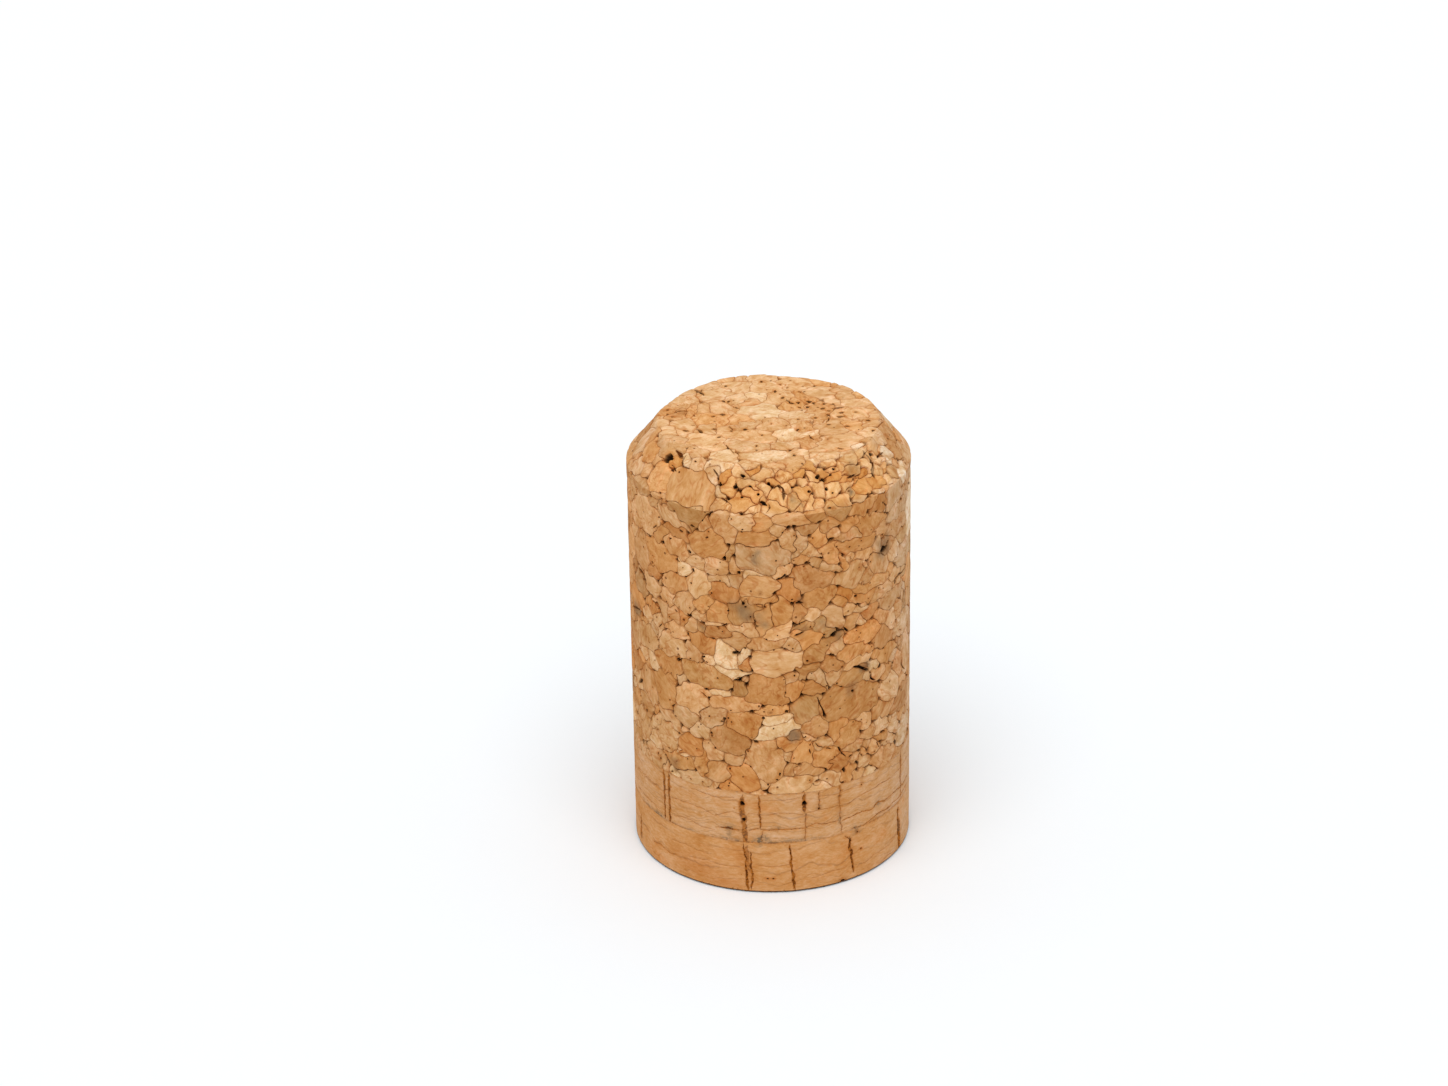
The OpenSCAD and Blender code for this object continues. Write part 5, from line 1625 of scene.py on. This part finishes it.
def add_lower_disc(sizes, look):
    """Makes the disc of natural cork that the stopper stands on, with pores in its foot."""
    skin = Skin([(sizes.radius, sizes.joint), (sizes.radius, FOOT_EASE), (sizes.radius - FOOT_EASE, 0),
                 (0, 0)], side=-1)
    hollows = disc_hollows(skin, LOWER_CHANNELS, LOWER_LINES, LOWER_VOIDS, 80)
    rng = np.random.default_rng(90)
    for _ in range(46):
        out = sizes.radius * math.sqrt(rng.uniform(0, 0.9))
        turn = rng.uniform(0, 2 * math.pi)
        long = rng.choice([0.3, 0.6, 1.2], p=[0.4, 0.4, 0.2])
        hollows.append(Void(skin, skin.total - out, turn, long, long * rng.uniform(0.3, 0.6),
                            tilt=math.degrees(turn) + rng.normal(0, 12), depth=0.25, dark=0.4, dust=1.0,
                            seed=rng.integers(9999)))
    material = disc_material("Lower natural cork", look, look.lower, 2)
    return add_disc("lower_disc_cork", skin, hollows, LOWER_SMEARS, LOWER_GLOWS, material, 70)


# --- Add-on ---------------------------------------------------------------------------------------

def colour(name, description, *levels):
    """A colour setting, with its default as three levels from 0 to 255."""
    return bpy.props.FloatVectorProperty(name=name, description=description, default=srgb(*levels),
                                         size=3, min=0, max=1, subtype="COLOR")


def length(name, description, default):
    """A length setting in millimetres."""
    return bpy.props.FloatProperty(name=name + " (mm)", description=description, default=default, min=0.01)


class StopperSizes(bpy.types.PropertyGroup):
    radius: length("Radius", "Radius that the body and both discs are ground to", BODY_R)
    foot: length("Foot", "Height of the body's glue face", BODY_FOOT)
    joint: length("Joint", "Height of the glue face between the discs", DISC_JOINT)
    head: length("Head", "Height of the top face", BODY_HEAD)
    chamfer_height: length("Chamfer height", "How far the chamfer reaches down the side", CHAMFER_H)
    chamfer_width: length("Chamfer width", "How far the chamfer reaches in across the top", CHAMFER_W)


class StopperLook(bpy.types.PropertyGroup):
    pale: colour("Pale granule", "Light granules", 206, 158, 108)
    tan: colour("Tan granule", "The common granules", 198, 146, 94)
    orange: colour("Orange granule", "Warm granules", 198, 140, 83)
    amber: colour("Amber granule", "The deepest orange granules", 190, 127, 66)
    grey: colour("Grey granule", "Weathered granules", 187, 137, 84)
    brown: colour("Brown granule", "Dark granules", 189, 132, 78)
    cream: colour("Cream granule", "The lightest granules", 217, 177, 130)
    sanded: colour("Sanded", "The tan granule on the sanded top", 217, 170, 119)
    seam: colour("Seam", "The glue seams between granules", 98, 48, 8)
    # Painted shade inside voids, in gaps where seams meet and round the foot
    hollow_shade: colour("Hollow", "The inside of voids", 30, 15, 6)
    stain: colour("Stain", "Grey patches of old bark", 122, 100, 76)
    lenticel: colour("Lenticel", "The bark dust in lenticels", 172, 102, 34)
    growth_line: colour("Growth line", "The level lines in natural cork", 122, 84, 56)
    upper: colour("Upper disc", "Natural cork of the upper disc", 198, 146, 96)
    lower: colour("Lower disc", "Natural cork of the lower disc", 199, 143, 89)


class StopperStage(bpy.types.PropertyGroup):
    floor: colour("Floor", "The plain floor", 239, 243, 246)
    world: bpy.props.FloatProperty(name="Surrounding light", default=0.72, min=0,
                                   description="Strength of the even light from all round")
    key: bpy.props.FloatProperty(name="Key lamp", description="Strength of the soft lamp above the front",
                                 default=1.5, min=0)


def soft_lamp(name, place, spread, strength):
    """A broad, even light that shines from a place towards the origin."""
    light = bpy.data.lights.new(name, "SUN")
    light.angle, light.energy = spread, strength
    lamp = bpy.data.objects.new(name, light)
    lamp.location = place
    lamp.rotation_euler = (-Vector(place)).to_track_quat("-Z", "Y").to_euler()
    bpy.context.scene.collection.objects.link(lamp)


class STOPPER_OT_stage(bpy.types.Operator):
    """Add the floor, the lamps, the even light and the camera"""
    bl_idname = "stopper.stage"
    bl_label = "Stage"

    def execute(self, context):
        stage = context.scene.stopper_stage
        mesh = bpy.data.meshes.new("floor")
        corners = [(x * FLOOR_REACH, y * FLOOR_REACH, 0) for x, y in ((-1, -1), (1, -1), (1, 1), (-1, 1))]
        mesh.from_pydata(corners, [], [(0, 1, 2, 3)])
        floor = bpy.data.objects.new("floor", mesh)
        context.scene.collection.objects.link(floor)
        material, _, shader = matte_material("White floor", specular=0.0)
        shader["Base Color"].default_value = (*stage.floor, 1)
        mesh.materials.append(material)
        world = bpy.data.worlds.new("Studio")
        context.scene.world = world
        world.use_nodes = True
        w = Nodes(world.node_tree)
        background = world.node_tree.nodes["Background"]
        paths = w.add("LightPath").outputs
        seen = w.math("MAXIMUM", paths["Is Camera Ray"], paths["Is Glossy Ray"])
        strength = w.plus(w.times(seen, 1.0 - stage.world), stage.world)
        w.fill(background.inputs["Strength"], strength)
        background.inputs["Color"].default_value = (1, 1, 1, 1)
        soft_lamp("key", KEY_PLACE, math.radians(KEY_SPREAD), stage.key)
        context.scene.view_settings.view_transform = "Standard"
        self.camera(context)
        return {"FINISHED"}

    @staticmethod
    def camera(context):
        """Adds the camera and looks through it."""
        data = bpy.data.cameras.new("camera")
        data.sensor_width = SENSOR_WIDTH
        data.lens = SENSOR_WIDTH * CAMERA_FOCUS / PICTURE_WIDTH
        data.clip_start, data.clip_end = 0.01, 20
        camera = bpy.data.objects.new("camera", data)
        camera.matrix_world = (Matrix.Translation(Vector(CAMERA_PLACE) * MM)
                               @ Matrix.Rotation(math.radians(90 - CAMERA_DOWN), 4, "X")
                               @ Matrix.Rotation(math.radians(CAMERA_ROLL), 4, "Z"))
        context.scene.collection.objects.link(camera)
        context.scene.camera = camera


class STOPPER_OT_agglomerate(bpy.types.Operator):
    """Add the body of glued cork granules"""
    bl_idname = "stopper.agglomerate"
    bl_label = "Agglomerate body"

    def execute(self, context):
        body = add_body(context.scene.stopper_sizes, context.scene.stopper_look)
        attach(body, "root")
        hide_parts("agglomerate_body")
        return {"FINISHED"}


class STOPPER_OT_upper_disc(bpy.types.Operator):
    """Add the disc of natural cork under the body"""
    bl_idname = "stopper.upper_disc"
    bl_label = "Upper disc"

    def execute(self, context):
        disc = add_upper_disc(context.scene.stopper_sizes, context.scene.stopper_look)
        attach(disc, "root")
        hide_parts("upper_disc")
        return {"FINISHED"}


class STOPPER_OT_lower_disc(bpy.types.Operator):
    """Add the disc of natural cork that the stopper stands on"""
    bl_idname = "stopper.lower_disc"
    bl_label = "Lower disc"

    def execute(self, context):
        disc = add_lower_disc(context.scene.stopper_sizes, context.scene.stopper_look)
        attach(disc, "root")
        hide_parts("lower_disc")
        return {"FINISHED"}


class STOPPER_PT_panel(bpy.types.Panel):
    """Lists the pieces, the sizes and the colours of the stopper"""
    bl_idname = "STOPPER_PT_panel"
    bl_label = "Cork Stopper"
    bl_space_type = "VIEW_3D"
    bl_region_type = "UI"
    bl_category = "Stopper"

    def draw(self, context):
        for operator in OPERATORS:
            self.layout.operator(operator.bl_idname)
        for key in ("stopper_sizes", "stopper_look", "stopper_stage"):
            settings = getattr(context.scene, key)
            box = self.layout.box()
            for field in settings.bl_rna.properties.keys():
                if field not in ("rna_type", "name"):
                    box.prop(settings, field)


OPERATORS = (STOPPER_OT_stage, STOPPER_OT_agglomerate, STOPPER_OT_upper_disc, STOPPER_OT_lower_disc)
CLASSES = (StopperSizes, StopperLook, StopperStage, *OPERATORS, STOPPER_PT_panel)


def register():
    for cls in CLASSES:
        bpy.utils.register_class(cls)
    bpy.types.Scene.stopper_sizes = bpy.props.PointerProperty(type=StopperSizes)
    bpy.types.Scene.stopper_look = bpy.props.PointerProperty(type=StopperLook)
    bpy.types.Scene.stopper_stage = bpy.props.PointerProperty(type=StopperStage)


def unregister():
    del bpy.types.Scene.stopper_sizes, bpy.types.Scene.stopper_look, bpy.types.Scene.stopper_stage
    for cls in reversed(CLASSES):
        bpy.utils.unregister_class(cls)


def main():
    register()
    bpy.ops.stopper.stage()
    bpy.ops.stopper.agglomerate()
    bpy.ops.stopper.upper_disc()
    bpy.ops.stopper.lower_disc()


if __name__ == "__main__":
    main()
